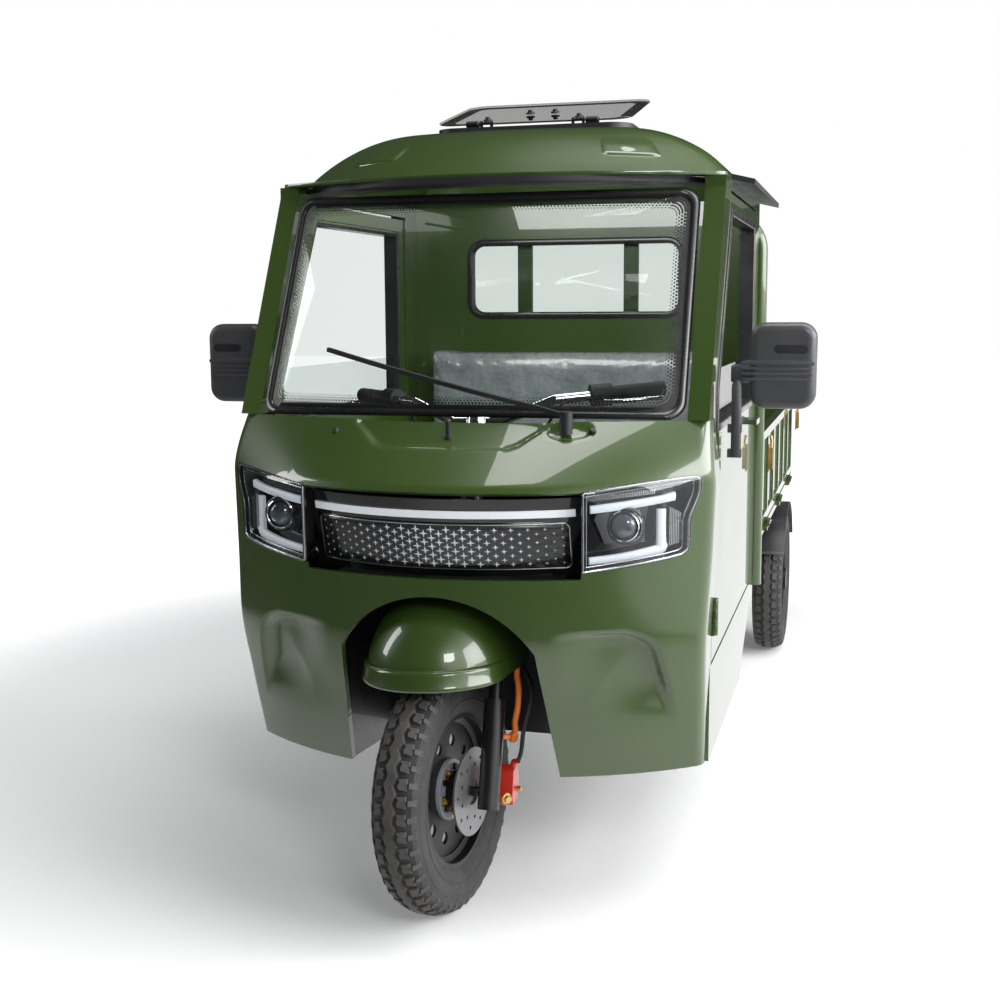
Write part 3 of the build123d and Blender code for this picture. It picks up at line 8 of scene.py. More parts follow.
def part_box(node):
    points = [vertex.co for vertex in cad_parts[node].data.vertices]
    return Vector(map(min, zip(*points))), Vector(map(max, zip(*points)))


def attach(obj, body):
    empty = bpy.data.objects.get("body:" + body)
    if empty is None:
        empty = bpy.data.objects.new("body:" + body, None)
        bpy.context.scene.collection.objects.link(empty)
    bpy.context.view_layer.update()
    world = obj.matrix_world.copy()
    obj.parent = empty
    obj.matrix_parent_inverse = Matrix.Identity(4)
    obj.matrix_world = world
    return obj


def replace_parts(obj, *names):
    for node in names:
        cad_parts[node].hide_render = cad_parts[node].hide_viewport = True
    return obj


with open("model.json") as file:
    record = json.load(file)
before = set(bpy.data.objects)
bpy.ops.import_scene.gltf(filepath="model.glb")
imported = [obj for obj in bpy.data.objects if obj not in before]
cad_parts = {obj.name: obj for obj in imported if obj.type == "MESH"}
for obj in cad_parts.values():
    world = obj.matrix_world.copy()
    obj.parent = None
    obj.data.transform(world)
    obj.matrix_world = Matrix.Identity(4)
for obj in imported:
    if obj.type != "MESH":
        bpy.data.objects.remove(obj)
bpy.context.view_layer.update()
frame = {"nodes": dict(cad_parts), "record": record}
nodes = frame["nodes"]

# Places are given from the front axle, in millimetres, as on the drawing of the truck
MM = 0.001
WHEELBASE = 2400
TYRE_RADIUS = 254
RAKE = math.radians(16)
REST_TURN = math.radians(-8)
FORK_OFFSET = 35
rear_low, rear_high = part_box("rear_tyre_left")
AXLE_Y = (rear_low.y + rear_high.y) / 2 - WHEELBASE * MM


def at(x, y, z):
    """A place from the front axle in millimetres, as a vector in the frame."""
    return Vector((x * MM, AXLE_Y + y * MM, z * MM))


def measured(place):
    """A vector in the frame, as a place from the front axle in millimetres."""
    return place.x / MM, (place.y - AXLE_Y) / MM, place.z / MM


# Camera
CAMERA_PLACE = (825, -2579, 1235)
CAMERA_YAW = math.radians(15.345)
CAMERA_PITCH = math.radians(8.003)
CAMERA_ROLL = math.radians(0.328)
CAMERA_LENS = 49.1
CAMERA_SENSOR = 36

camera_data = bpy.data.cameras.new("camera")
camera_data.lens = CAMERA_LENS
camera_data.sensor_width = CAMERA_SENSOR
camera_data.clip_end = 60
camera = bpy.data.objects.new("camera", camera_data)
bpy.context.scene.collection.objects.link(camera)
look = Matrix.Rotation(CAMERA_YAW, 4, "Z") @ Matrix.Rotation(math.pi / 2 - CAMERA_PITCH, 4, "X")
camera.matrix_world = Matrix.Translation(at(*CAMERA_PLACE)) @ look @ Matrix.Rotation(-CAMERA_ROLL, 4, "Z")
bpy.context.scene.camera = camera
bpy.context.scene.view_settings.view_transform = "Standard"


# Materials
RAMP_LOW, RAMP_HIGH = 0.3, 0.7


def new_material(name):
    material = bpy.data.materials.new(name)
    material.use_nodes = True
    tree = material.node_tree
    shader = tree.nodes["Principled BSDF"]
    return material, tree, shader


def link_noise(tree, scale, detail=3.0):
    """Noise that lies still on the piece."""
    place = tree.nodes.new("ShaderNodeTexCoord")
    noise = tree.nodes.new("ShaderNodeTexNoise")
    noise.inputs["Scale"].default_value = scale
    noise.inputs["Detail"].default_value = detail
    tree.links.new(place.outputs["Object"], noise.inputs["Vector"])
    return noise.outputs["Fac"]


def link_ramp(tree, factor, low, high):
    """Colour between two others, by a factor."""
    ramp = tree.nodes.new("ShaderNodeValToRGB")
    ramp.color_ramp.elements[0].position = RAMP_LOW
    ramp.color_ramp.elements[1].position = RAMP_HIGH
    ramp.color_ramp.elements[0].color = (*low, 1)
    ramp.color_ramp.elements[1].color = (*high, 1)
    tree.links.new(factor, ramp.inputs["Fac"])
    return ramp.outputs["Color"]


def link_bump(tree, shader, height, strength, distance):
    """Fine relief of a surface, from a height value."""
    bump = tree.nodes.new("ShaderNodeBump")
    bump.inputs["Strength"].default_value = strength
    bump.inputs["Distance"].default_value = distance
    tree.links.new(height, bump.inputs["Height"])
    tree.links.new(bump.outputs["Normal"], shader.inputs["Normal"])


def surface(name, low, high, roughness, metallic=0.0, colour_scale=6.0, grain_scale=400.0,
            grain_strength=0.1, grain_distance=0.0005, coat=0.0, coat_roughness=0.03, rough_spread=0.06):
    """Material with colour variation, roughness variation and a fine grain."""
    material, tree, shader = new_material(name)
    tree.links.new(link_ramp(tree, link_noise(tree, colour_scale), low, high), shader.inputs["Base Color"])
    rough = link_ramp(tree, link_noise(tree, colour_scale * 3),
                      (roughness - rough_spread,) * 3, (roughness + rough_spread,) * 3)
    tree.links.new(rough, shader.inputs["Roughness"])
    shader.inputs["Metallic"].default_value = metallic
    shader.inputs["Coat Weight"].default_value = coat
    shader.inputs["Coat Roughness"].default_value = coat_roughness
    link_bump(tree, shader, link_noise(tree, grain_scale, 2.0), grain_strength, grain_distance)
    return material


def paint(name, low, high):
    """Glossy stoved enamel: a clear coat over a smooth colour with a faint long wave."""
    return surface(name, low, high, 0.32, colour_scale=1.5, grain_scale=14.0, grain_strength=0.12,
                   grain_distance=0.0012, coat=1.0, coat_roughness=0.02, rough_spread=0.04)


GLASS_REFLECTION = ((0.0, 0.03), (0.5, 0.06), (0.7, 0.16), (0.85, 0.4), (1.0, 0.9))


def clear_sheet(name, tint, gloss, reflection=GLASS_REFLECTION):
    """Thin glass: tinted see-through with a sharp reflection that grows at low angles."""
    material, tree, shader = new_material(name)
    tree.nodes.remove(shader)
    output = tree.nodes["Material Output"]
    through = tree.nodes.new("ShaderNodeBsdfTransparent")
    through.inputs["Color"].default_value = (*tint, 1)
    mirror = tree.nodes.new("ShaderNodeBsdfGlossy")
    mirror.inputs["Roughness"].default_value = gloss
    facing = tree.nodes.new("ShaderNodeLayerWeight")
    facing.inputs["Blend"].default_value = 0.5
    ramp = tree.nodes.new("ShaderNodeValToRGB")
    while len(ramp.color_ramp.elements) < len(reflection):
        ramp.color_ramp.elements.new(0.5)
    for element, (position, value) in zip(ramp.color_ramp.elements, reflection):
        element.position = position
        element.color = (value, value, value, 1)
    tree.links.new(facing.outputs["Facing"], ramp.inputs["Fac"])
    mix = tree.nodes.new("ShaderNodeMixShader")
    tree.links.new(ramp.outputs["Color"], mix.inputs["Fac"])
    tree.links.new(through.outputs["BSDF"], mix.inputs[1])
    tree.links.new(mirror.outputs["BSDF"], mix.inputs[2])
    tree.links.new(mix.outputs["Shader"], output.inputs["Surface"])
    return material


def glowing(name, colour, strength):
    """Plastic with a faint light of its own."""
    material, tree, shader = new_material(name)
    shader.inputs["Base Color"].default_value = (*colour, 1)
    shader.inputs["Emission Color"].default_value = (*colour, 1)
    shader.inputs["Emission Strength"].default_value = strength
    shader.inputs["Roughness"].default_value = 0.35
    link_bump(tree, shader, link_noise(tree, 900.0), 0.1, 0.0003)
    return material


OLIVE = paint("olive_paint", (0.033, 0.066, 0.010), (0.039, 0.075, 0.012))
BLACK_PAINT = surface("black_enamel", (0.005, 0.005, 0.006), (0.009, 0.009, 0.010), 0.34, coat=0.25,
                      grain_scale=60, grain_distance=0.0008)
BLACK_PLASTIC = surface("black_plastic", (0.012, 0.012, 0.014), (0.022, 0.022, 0.025), 0.48,
                        grain_scale=900, grain_strength=0.35, grain_distance=0.0003)
GLOSS_BLACK = surface("gloss_black", (0.004, 0.004, 0.005), (0.008, 0.008, 0.009), 0.12, coat=1.0,
                      grain_scale=20, grain_strength=0.05, rough_spread=0.03)
RUBBER = surface("rubber", (0.010, 0.010, 0.011), (0.022, 0.021, 0.021), 0.62, grain_scale=500,
                 grain_strength=0.3, grain_distance=0.0004)
TYRE_RUBBER = surface("tyre_rubber", (0.022, 0.022, 0.023), (0.042, 0.041, 0.042), 0.72, colour_scale=18,
                      grain_scale=260, grain_strength=0.5, grain_distance=0.0006)
RIM_BLACK = surface("rim_black", (0.004, 0.004, 0.005), (0.007, 0.007, 0.008), 0.45, grain_scale=200)
DISC_STEEL = surface("disc_steel", (0.22, 0.22, 0.23), (0.30, 0.30, 0.31), 0.42, metallic=0.85,
                     grain_scale=300)
STEEL = surface("steel", (0.45, 0.45, 0.46), (0.60, 0.60, 0.61), 0.30, metallic=1.0, grain_scale=300)
CHROME = surface("chrome", (0.72, 0.72, 0.74), (0.82, 0.82, 0.84), 0.08, metallic=1.0, grain_scale=30,
                 grain_strength=0.05, rough_spread=0.03)
ZINC = surface("gold_zinc", (0.55, 0.36, 0.12), (0.70, 0.50, 0.20), 0.33, metallic=1.0, grain_scale=300)
CAST = surface("cast_iron", (0.020, 0.020, 0.021), (0.045, 0.043, 0.042), 0.55, metallic=0.4, grain_scale=120,
               grain_strength=0.5, grain_distance=0.0012)
RED_CAST = surface("red_cast", (0.55, 0.02, 0.012), (0.70, 0.04, 0.02), 0.35, grain_scale=150,
                   grain_strength=0.3, coat=0.5)
ORANGE = surface("orange_hose", (0.75, 0.16, 0.02), (0.85, 0.22, 0.03), 0.4, grain_scale=200)
RED_LENS = surface("red_lens", (0.45, 0.01, 0.01), (0.6, 0.02, 0.015), 0.15, coat=1.0, grain_scale=160,
                   grain_strength=0.6, grain_distance=0.001)
SEAT_FILM = surface("seat_film", (0.13, 0.147, 0.154), (0.22, 0.24, 0.25), 0.30, colour_scale=22,
                    grain_scale=55, grain_strength=0.7, grain_distance=0.004, coat=0.7, coat_roughness=0.12)
GASKET = surface("gasket", (0.012, 0.012, 0.013), (0.022, 0.022, 0.023), 0.3, coat=0.4, grain_scale=200)
HUB_ALLOY = surface("hub_alloy", (0.42, 0.45, 0.50), (0.54, 0.57, 0.62), 0.4, metallic=0.2, grain_scale=250,
                    grain_strength=0.2)
# Tread blocks get a lighter copy of the tyre rubber as a painted highlight on their faces; the darker tyre
# rubber of the carcass between them stands for painted shade in the grooves.
TREAD_RUBBER_PAINTED_HIGHLIGHT = surface("tread_rubber_painted_highlight", (0.050, 0.047, 0.044), (0.085, 0.080, 0.075), 0.75, colour_scale=30,
                       grain_scale=260, grain_strength=0.5, grain_distance=0.0006)
MIRROR_PLASTIC = surface("mirror_plastic", (0.055, 0.055, 0.061), (0.074, 0.074, 0.081), 0.36,
                         grain_scale=900, grain_strength=0.35, grain_distance=0.0003)
HATCH_REFLECTION = ((0.0, 0.02), (0.5, 0.03), (0.7, 0.05), (0.85, 0.09), (1.0, 0.3))
HATCH_GLASS = clear_sheet("hatch_glass", (0.66, 0.66, 0.65), 0.02, HATCH_REFLECTION)
HATCH_PRINT = clear_sheet("hatch_print", (0.34, 0.34, 0.33), 0.02, HATCH_REFLECTION)
LAMP_SILVER = surface("lamp_silver", (0.30, 0.31, 0.32), (0.42, 0.43, 0.44), 0.25, metallic=0.9,
                      grain_scale=300, coat=0.5)
STUD_GREY = surface("stud_grey", (0.78, 0.80, 0.83), (0.88, 0.89, 0.91), 0.35, grain_scale=300)
GRILLE_BLACK = surface("grille_black", (0.006, 0.006, 0.007), (0.010, 0.010, 0.011), 0.22, grain_scale=30,
                       grain_strength=0.04, rough_spread=0.04)
FILM = clear_sheet("grille_film", (0.95, 0.96, 0.97), 0.08)
FRIT = surface("printed_border", (0.006, 0.006, 0.007), (0.012, 0.012, 0.013), 0.35, grain_scale=300)
LAMP_WHITE = glowing("lamp_white", (0.72, 0.74, 0.77), 0.22)
CLEAR = clear_sheet("clear_glass", (0.93, 0.95, 0.94), 0.01)
LENS_SOLID = surface("lens_ball", (0.04, 0.05, 0.06), (0.11, 0.13, 0.15), 0.05, coat=1.0, coat_roughness=0.0,
                     colour_scale=25, grain_scale=20, grain_strength=0.02, rough_spread=0.03)
LENS = clear_sheet("lens_glass", (0.97, 0.98, 0.99), 0.01)
TINTED = clear_sheet("tinted_glass", (0.46, 0.46, 0.47), 0.02)

NODE_MATERIALS = {
    "olive_paint": OLIVE, "black_paint": BLACK_PAINT, "black_plastic": BLACK_PLASTIC,
    "gloss_black": GLOSS_BLACK, "white_lamp": LAMP_WHITE, "clear": CLEAR, "tinted": TINTED,
    "red_lens": RED_LENS, "rubber": RUBBER, "tyre": TYRE_RUBBER, "steel": STEEL, "chrome": CHROME,
    "cast": CAST, "red_cast": RED_CAST, "grey_vinyl": SEAT_FILM,
}
slot_of = {part["node"]: part["material_slot"] for part in frame["record"]["subparts"]}
for name, node in nodes.items():
    node.data.materials.clear()
    node.data.materials.append(NODE_MATERIALS[slot_of[name]])
nodes["brake_disc"].data.materials[0] = DISC_STEEL
for name in ("front_rim", "rear_rim_left", "rear_rim_right"):
    nodes[name].data.materials[0] = RIM_BLACK


# Worn and folded edges of the sheet metal catch the light
EDGED_NODES = ("cab_side_frames", "door_shell_left", "door_shell_right", "side_board_left",
               "side_board_right", "tailgate", "cargo_headboard", "chassis_frame", "roof_shell",
               "dashboard", "rear_mudguards")
for name in EDGED_NODES:
    weld = nodes[name].modifiers.new("weld", "WELD")
    weld.merge_threshold = 0.02 * MM
    edge = nodes[name].modifiers.new("edge", "BEVEL")
    edge.width = 1.6 * MM
    edge.segments = 2
    edge.limit_method = "ANGLE"
    edge.angle_limit = math.radians(35)
    edge.harden_normals = True


# Helpers for meshes
def lerp(a, b, t):
    return a + (b - a) * t


def smooth_step(t):
    t = min(1, max(0, t))
    return t * t * (3 - 2 * t)


def circle(sides):
    """Cosine and sine of evenly spaced angles."""
    angles = [2 * math.pi * k / sides for k in range(sides)]
    return [(math.cos(angle), math.sin(angle)) for angle in angles]


def squared_circle(sides, power):
    """A circle drawn out toward the corners of its square."""
    return [(math.copysign(abs(a) ** power, a), math.copysign(abs(b) ** power, b))
            for a, b in circle(sides)]


def arc(cx, cz, radius, start, turn, steps):
    """Pairs on an arc, its angles in degrees."""
    angles = [math.radians(start + turn * k / (steps - 1)) for k in range(steps)]
    return [(cx + radius * math.cos(angle), cz + radius * math.sin(angle)) for angle in angles]


def rounded_box(width, height, setback, radius, steps, first=0):
    """Pairs round a box with round corners, from its upper right corner or a later one."""
    right, left = width[1] - setback, width[0] + setback
    top, foot = height[1] - setback, height[0] + setback
    centres = ((right, top), (left, top), (left, foot), (right, foot))
    points = []
    for index in range(first, first + 4):
        points += arc(*centres[index % 4], radius, 90 * (index % 4), 90, steps)
    return points


def hold(name, mesh, material, slot, body="chassis", sharp=35):
    """Piece from a mesh, riding on a body."""
    for polygon in mesh.polygons:
        polygon.use_smooth = True
    if sharp is not None:
        mesh.set_sharp_from_angle(angle=math.radians(sharp))
    mesh.materials.append(material)
    piece = bpy.data.objects.new(name, mesh)
    bpy.context.scene.collection.objects.link(piece)
    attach(piece, body)
    return piece


def bevel(piece, width, angle):
    modifier = piece.modifiers.new("bevel", "BEVEL")
    modifier.width = width * MM
    modifier.segments = 2
    modifier.limit_method = "ANGLE"
    modifier.angle_limit = math.radians(angle)
    modifier.harden_normals = True
    return piece


def solidify(piece, thickness):
    modifier = piece.modifiers.new("thickness", "SOLIDIFY")
    modifier.thickness = thickness * MM
    return piece


def grid_faces(rows, columns, closed_columns=False, closed_rows=False):
    """Quads of a grid whose points run column by column inside each row."""
    faces = []
    for row in range(rows if closed_rows else rows - 1):
        here, above = row * columns, (row + 1) % rows * columns
        for column in range(columns if closed_columns else columns - 1):
            beside = (column + 1) % columns
            faces.append((here + column, here + beside, above + beside, above + column))
    return faces


class Parts:
    """Collects several shapes into one mesh piece, in millimetres from the front axle."""

    def __init__(self):
        self.points = []
        self.faces = []

    def add(self, points, faces):
        start = len(self.points)
        self.points += points
        self.faces += [tuple(start + index for index in face) for face in faces]

    def rows(self, rows, closed_columns=False, closed_rows=False, caps=()):
        """Skin over rows of points."""
        columns = len(rows[0])
        faces = grid_faces(len(rows), columns, closed_columns, closed_rows)
        if "start" in caps:
            faces.append(tuple(reversed(range(columns))))
        if "end" in caps:
            faces.append(tuple(range((len(rows) - 1) * columns, len(rows) * columns)))
        self.add([point for row in rows for point in row], faces)

    def loft(self, rings):
        """Solid through rings, closed at both ends."""
        self.rows(rings, closed_columns=True, caps=("start", "end"))

    def cup(self, rings):
        """Skin through rings, closed at its last one."""
        self.rows(rings, closed_columns=True, caps=("end",))

    def hoop(self, rings):
        """Closed ring through rings."""
        self.rows(rings, closed_columns=True, closed_rows=True)

    def box(self, x, y, z):
        corners = [(a, b, c) for c in z for b in y for a in x]
        faces = [(0, 2, 3, 1), (4, 5, 7, 6), (0, 1, 5, 4), (2, 6, 7, 3), (0, 4, 6, 2), (1, 3, 7, 5)]
        self.add(corners, faces)

    def tube(self, path, radius, sides=12):
        """Round bar along a list of points, its radius one number or one for each point."""
        path = [Vector(point) for point in path]
        radii = radius if isinstance(radius, list) else [radius] * len(path)
        rings = []
        normal = None
        for index, point in enumerate(path):
            along = (path[min(len(path) - 1, index + 1)] - path[max(0, index - 1)]).normalized()
            if normal is None:
                normal = along.orthogonal().normalized()
            normal = (normal - along * normal.dot(along)).normalized()
            side = along.cross(normal)
            rings.append([tuple(point + (normal * a + side * b) * radii[index]) for a, b in circle(sides)])
        self.loft(rings)

    def lathe(self, profile, centre, axis, sides=48, closed=False):
        """Turned shape: profile pairs of distance along the axis and radius."""
        centre = Vector(centre)
        axis = Vector(axis).normalized()
        normal = axis.orthogonal().normalized()
        side = axis.cross(normal)
        rings = [[tuple(centre + axis * along + (normal * a + side * b) * radius) for a, b in circle(sides)]
                 for along, radius in profile]
        if closed:
            self.hoop(rings)
        else:
            self.loft(rings)

    def sided(self, sign):
        """The same shape, or its mirror image on the vehicle's right."""
        if sign > 0:
            return self
        other = Parts()
        other.add([(-x, y, z) for x, y, z in self.points], [tuple(reversed(face)) for face in self.faces])
        return other

    def mirrored(self):
        """Adds the mirror image of all that is here on the vehicle's other side."""
        other = self.sided(-1)
        self.add(other.points, other.faces)
        return self

    def piece(self, name, material, slot, **options):
        mesh = bpy.data.meshes.new(name)
        mesh.from_pydata([at(*point) for point in self.points], [], self.faces)
        mesh.validate()
        mesh.update()
        return hold(name, mesh, material, slot, **options)


def spline_points(points, count):
    """Points on a smooth line through the given ones."""
    points = [Vector(point) for point in points]
    result = []
    spans = len(points) - 1
    for index in range(count):
        place = index / (count - 1) * spans
        span = min(spans - 1, int(place))
        t = place - span
        p0, p1 = points[max(0, span - 1)], points[span]
        p2, p3 = points[span + 1], points[min(spans, span + 2)]
        result.append(0.5 * ((2 * p1) + (p2 - p0) * t + (2 * p0 - 5 * p1 + 4 * p2 - p3) * t * t
                             + (3 * p1 - p0 - 3 * p2 + p3) * t**3))
    return [tuple(point) for point in result]


STEERING_UP = Vector((0, math.sin(RAKE), math.cos(RAKE)))
STEERING_POINT = Vector((0, FORK_OFFSET * math.cos(RAKE), TYRE_RADIUS - FORK_OFFSET * math.sin(RAKE)))
TURN = Matrix.Rotation(REST_TURN, 3, STEERING_UP)
FORK_TILT = Matrix.Rotation(-RAKE, 3, "X")


def turned(point):
    """A place of the steering in its straight position, turned as the truck stands."""
    return tuple(STEERING_POINT + TURN @ (Vector(point) - STEERING_POINT))


def on_fork(point):
    """A place from the wheel's centre along the fork, turned as the truck stands."""
    return turned(Vector((0, 0, TYRE_RADIUS)) + FORK_TILT @ Vector(point))


# Form of the cab's nose: height, front at the centre line, plan radius, half width, corner radius
SKIRT_FOOT, CREASE_HEIGHT = 280, 885
NOSE_SECTIONS = [
    (SKIRT_FOOT, 19, 784, 503, 46),
    (430, -38, 765, 508, 50),
    (600, -92, 740, 514, 54),
    (740, -95, 722, 521, 57),
    (CREASE_HEIGHT, -97, 720, 526, 58),
    (1010, 50, 1140, 512, 46),
]
NOSE_LEVELS = [section[0] for section in NOSE_SECTIONS]
NOSE_REAR = 228
CREASE_HALF_HEIGHT = 11
SNAP_REACH = 3.6
PANEL_WALL = 12


def end_slopes(line, span):
    """Slopes at a span's two ends that keep a smooth line from swinging past its values."""
    slopes = [(line[i + 1] - line[i]) / (NOSE_LEVELS[i + 1] - NOSE_LEVELS[i]) for i in range(len(line) - 1)]
    ends = []
    for knot in (span, span + 1):
        before, after = slopes[max(0, knot - 1)], slopes[min(knot, len(slopes) - 1)]
        if knot in (0, len(line) - 1):
            ends.append(after)
        elif before * after <= 0:
            ends.append(0)
        else:
            ends.append(2 * before * after / (before + after))
    return ends


def nose_values(height):
    """Front, plan radius, half width and corner radius of the nose at a height."""
    height = min(NOSE_LEVELS[-1], max(SKIRT_FOOT, height))
    if height > CREASE_HEIGHT:
        share = (height - CREASE_HEIGHT) / (NOSE_LEVELS[-1] - CREASE_HEIGHT)
        return [lerp(a, b, share) for a, b in zip(NOSE_SECTIONS[-2][1:], NOSE_SECTIONS[-1][1:])]
    span = max(index for index in range(len(NOSE_LEVELS) - 2) if NOSE_LEVELS[index] <= height)
    step = NOSE_LEVELS[span + 1] - NOSE_LEVELS[span]
    t = (height - NOSE_LEVELS[span]) / step
    values = []
    for column in range(1, 5):
        line = [section[column] for section in NOSE_SECTIONS[:-1]]
        first, last = end_slopes(line, span)
        values.append((2 * t**3 - 3 * t * t + 1) * line[span] + (t**3 - 2 * t * t + t) * step * first
                      + (3 * t * t - 2 * t**3) * line[span + 1] + (t**3 - t * t) * step * last)
    return values


def round_nose_values(height):
    """The same, with the edge between nose and hood rounded."""
    if abs(height - CREASE_HEIGHT) > CREASE_HALF_HEIGHT * 1.6:
        return nose_values(height)
    samples = [nose_values(height + CREASE_HALF_HEIGHT * step) for step in (-1, -0.5, 0, 0.5, 1)]
    return [sum(column) / len(samples) for column in zip(*samples)]


nose_cache = {}


def nose_plan(height):
    """The nose's values at a height, with the station of its corners and where they start."""
    key = round(height, 3)
    if key not in nose_cache:
        front, radius, half_width, corner = round_nose_values(height)
        reach = math.sqrt((radius - corner) ** 2 - (half_width - corner) ** 2)
        lean = math.asin((half_width - corner) / (radius - corner))
        nose_cache[key] = front, radius, half_width, corner, front + radius - reach, lean
    return nose_cache[key]


def nose_y(x, height):
    """Station of the nose's skin."""
    front, radius, half_width, corner, corner_y, lean = nose_plan(height)
    x = abs(x)
    if x <= radius * math.sin(lean):
        return front + radius - math.sqrt(radius * radius - x * x)
    return corner_y - math.sqrt(max(0, corner * corner - min(corner, x - half_width + corner) ** 2))


def nose_normal(x, height):
    """Outward direction of the nose's skin."""
    step = 2
    across = (nose_y(x + step, height) - nose_y(x - step, height)) / (2 * step)
    upward = (nose_y(x, height + step) - nose_y(x, height - step)) / (2 * step)
    return Vector((across, -1, upward)).normalized()


def on_nose(x, height, depth=0):
    """A place on the nose's skin, or a depth behind it."""
    return tuple(Vector((x, nose_y(x, height), height)) - nose_normal(x, height) * depth)


def outline_distance(point, outline):
    """Distance of a point of the plane from a closed outline, positive inside."""
    px, pz = point
    best = math.inf
    inside = False
    for (ax, az), (bx, bz) in zip(outline, outline[1:] + outline[:1]):
        dx, dz = bx - ax, bz - az
        share = ((px - ax) * dx + (pz - az) * dz) / (dx * dx + dz * dz)
        share = min(1, max(0, share))
        best = min(best, math.hypot(px - ax - dx * share, pz - az - dz * share))
        if (az > pz) != (bz > pz) and px < ax + dx * (pz - az) / dz:
            inside = not inside
    return best if inside else -best


ARCH_HALF, ARCH_SPRING, ARCH_TOP, ARCH_STEPS = 202, 562, 676, 13
ARCH_SIDE = [(230, 240), (228, 280), (ARCH_HALF, ARCH_SPRING)]


def arch_outline():
    """Opening of the front wheel, as x and height."""
    rise = ARCH_TOP - ARCH_SPRING
    radius = (ARCH_HALF**2 + rise**2) / (2 * rise)
    start = math.asin(ARCH_HALF / radius)
    crown = []
    for step in range(1, ARCH_STEPS * 2):
        angle = start * (1 - step / ARCH_STEPS)
        crown.append((radius * math.sin(angle), ARCH_TOP - radius + radius * math.cos(angle)))
    return ARCH_SIDE + crown + [(-x, z) for x, z in reversed(ARCH_SIDE)]


LAMP_OUTLINE = [
    (289, 723), (289, 884), (340, 891.5), (392, 898), (453, 905), (492, 907.5), (501, 903), (503, 893),
    (502.5, 878), (500, 864), (493, 845), (486, 826), (484, 810), (484, 790), (484, 768), (481, 757),
    (470, 748.5), (445, 743.5), (396, 736), (340, 729),
]
BAND_RIGHT = [(289, 712)] + LAMP_OUTLINE[:1] + LAMP_OUTLINE[:0:-1] + [(289, 882)]
BAND_OUTLINE = BAND_RIGHT + [(-x, z) for x, z in reversed(BAND_RIGHT)]
ARCH_OUTLINE = arch_outline()
SKIRT_STEP_OUTLINE = [
    (150, 604), (300, 608), (362, 607), (386, 602), (404, 593), (419, 580), (430, 563), (437, 536),
    (445, 494), (452, 445), (464, 386), (452, 330), (440, 270), (150, 270),
]
SKIRT_STEP_DEPTH, HOOD_PANEL_DEPTH, WIPER_DISH_DEPTH = 27, 6, 6
HOOD_PANEL_OUTLINE = [(-236, 1040), (-205, 1000), (-150, 963), (-128, 957), (128, 957), (150, 963),
                      (205, 1000), (236, 1040)]
WIPER_DISH = (246, 993, 50, 17)


def nose_relief(x, height):
    """Depth of the pressed forms in the nose's skin."""
    depth = 0
    side = abs(x)
    if height < 615 and side > 200:
        inside = outline_distance((side, height), SKIRT_STEP_OUTLINE)
        if inside > 0:
            edge = SKIRT_STEP_DEPTH * smooth_step((side - 225) / 125) * smooth_step((height - 384) / 110)
            edge *= lerp(1, 0.85, smooth_step((height - 560) / 40))
            depth += edge * smooth_step(inside / 17) * (1 - smooth_step((inside - 26) / 200))
    if height > 940 and side < 250:
        inside = outline_distance((x, height), HOOD_PANEL_OUTLINE)
        depth += HOOD_PANEL_DEPTH * smooth_step(inside / 9)
    dish = math.hypot((x - WIPER_DISH[0]) / WIPER_DISH[2], (height - WIPER_DISH[1]) / WIPER_DISH[3])
    return depth + WIPER_DISH_DEPTH * smooth_step((1 - dish) / 0.35)


def opening_gap(x, height):
    """Distance from the openings for the wheel and the lamp band, negative inside them."""
    return -max(outline_distance((x, height), ARCH_OUTLINE), outline_distance((x, height), BAND_OUTLINE))


def snap_to_opening(x, height):
    """Moves a point that lies near an opening's edge onto it."""
    for _ in range(2):
        gap = opening_gap(x, height)
        if abs(gap) < SNAP_REACH:
            across = opening_gap(x + 0.5, height) - opening_gap(x - 0.5, height)
            upward = opening_gap(x, height + 0.5) - opening_gap(x, height - 0.5)
            size = across * across + upward * upward
            if size > 0.2:
                x -= gap * across / size
                height = max(SKIRT_FOOT, height - gap * upward / size)
    gap = opening_gap(x, height)
    return x, height, 0 if abs(gap) < 0.25 else gap


ARC_STEPS, CORNER_STEPS, SIDE_STEPS = 92, 12, 14
NOSE_ROWS, HOOD_ROWS = 100, 25
SKIN_LEVELS = [SKIRT_FOOT + (CREASE_HEIGHT - SKIRT_FOOT) / NOSE_ROWS * step for step in range(NOSE_ROWS)]
SKIN_LEVELS += [CREASE_HEIGHT + 5.2 * step for step in range(HOOD_ROWS)]


def skin_columns():
    """Columns of the skin from one rear edge round to the other."""
    sides = [("corner", step / CORNER_STEPS) for step in range(1, CORNER_STEPS + 1)]
    sides += [("side", step / SIDE_STEPS) for step in range(1, SIDE_STEPS + 1)]
    front = [("arc", step / ARC_STEPS) for step in range(-ARC_STEPS, ARC_STEPS + 1)]
    return [(kind, -share) for kind, share in reversed(sides)] + front + sides


def skin_point(kind, share, height):
    """A point of the skin, and its distance from the openings."""
    front, radius, half_width, corner, corner_y, lean = nose_plan(height)
    if kind == "arc":
        x, z, gap = snap_to_opening(radius * math.sin(lean * share), height)
        return on_nose(x, z, nose_relief(x, z)), gap
    sign = -1 if share < 0 else 1
    if kind == "side":
        return (sign * half_width, lerp(corner_y, NOSE_REAR, abs(share)), height), 1
    angle = lerp(lean, math.pi / 2, abs(share))
    x = half_width - corner + corner * math.sin(angle)
    return (sign * x, corner_y - corner * math.cos(angle), height), 1


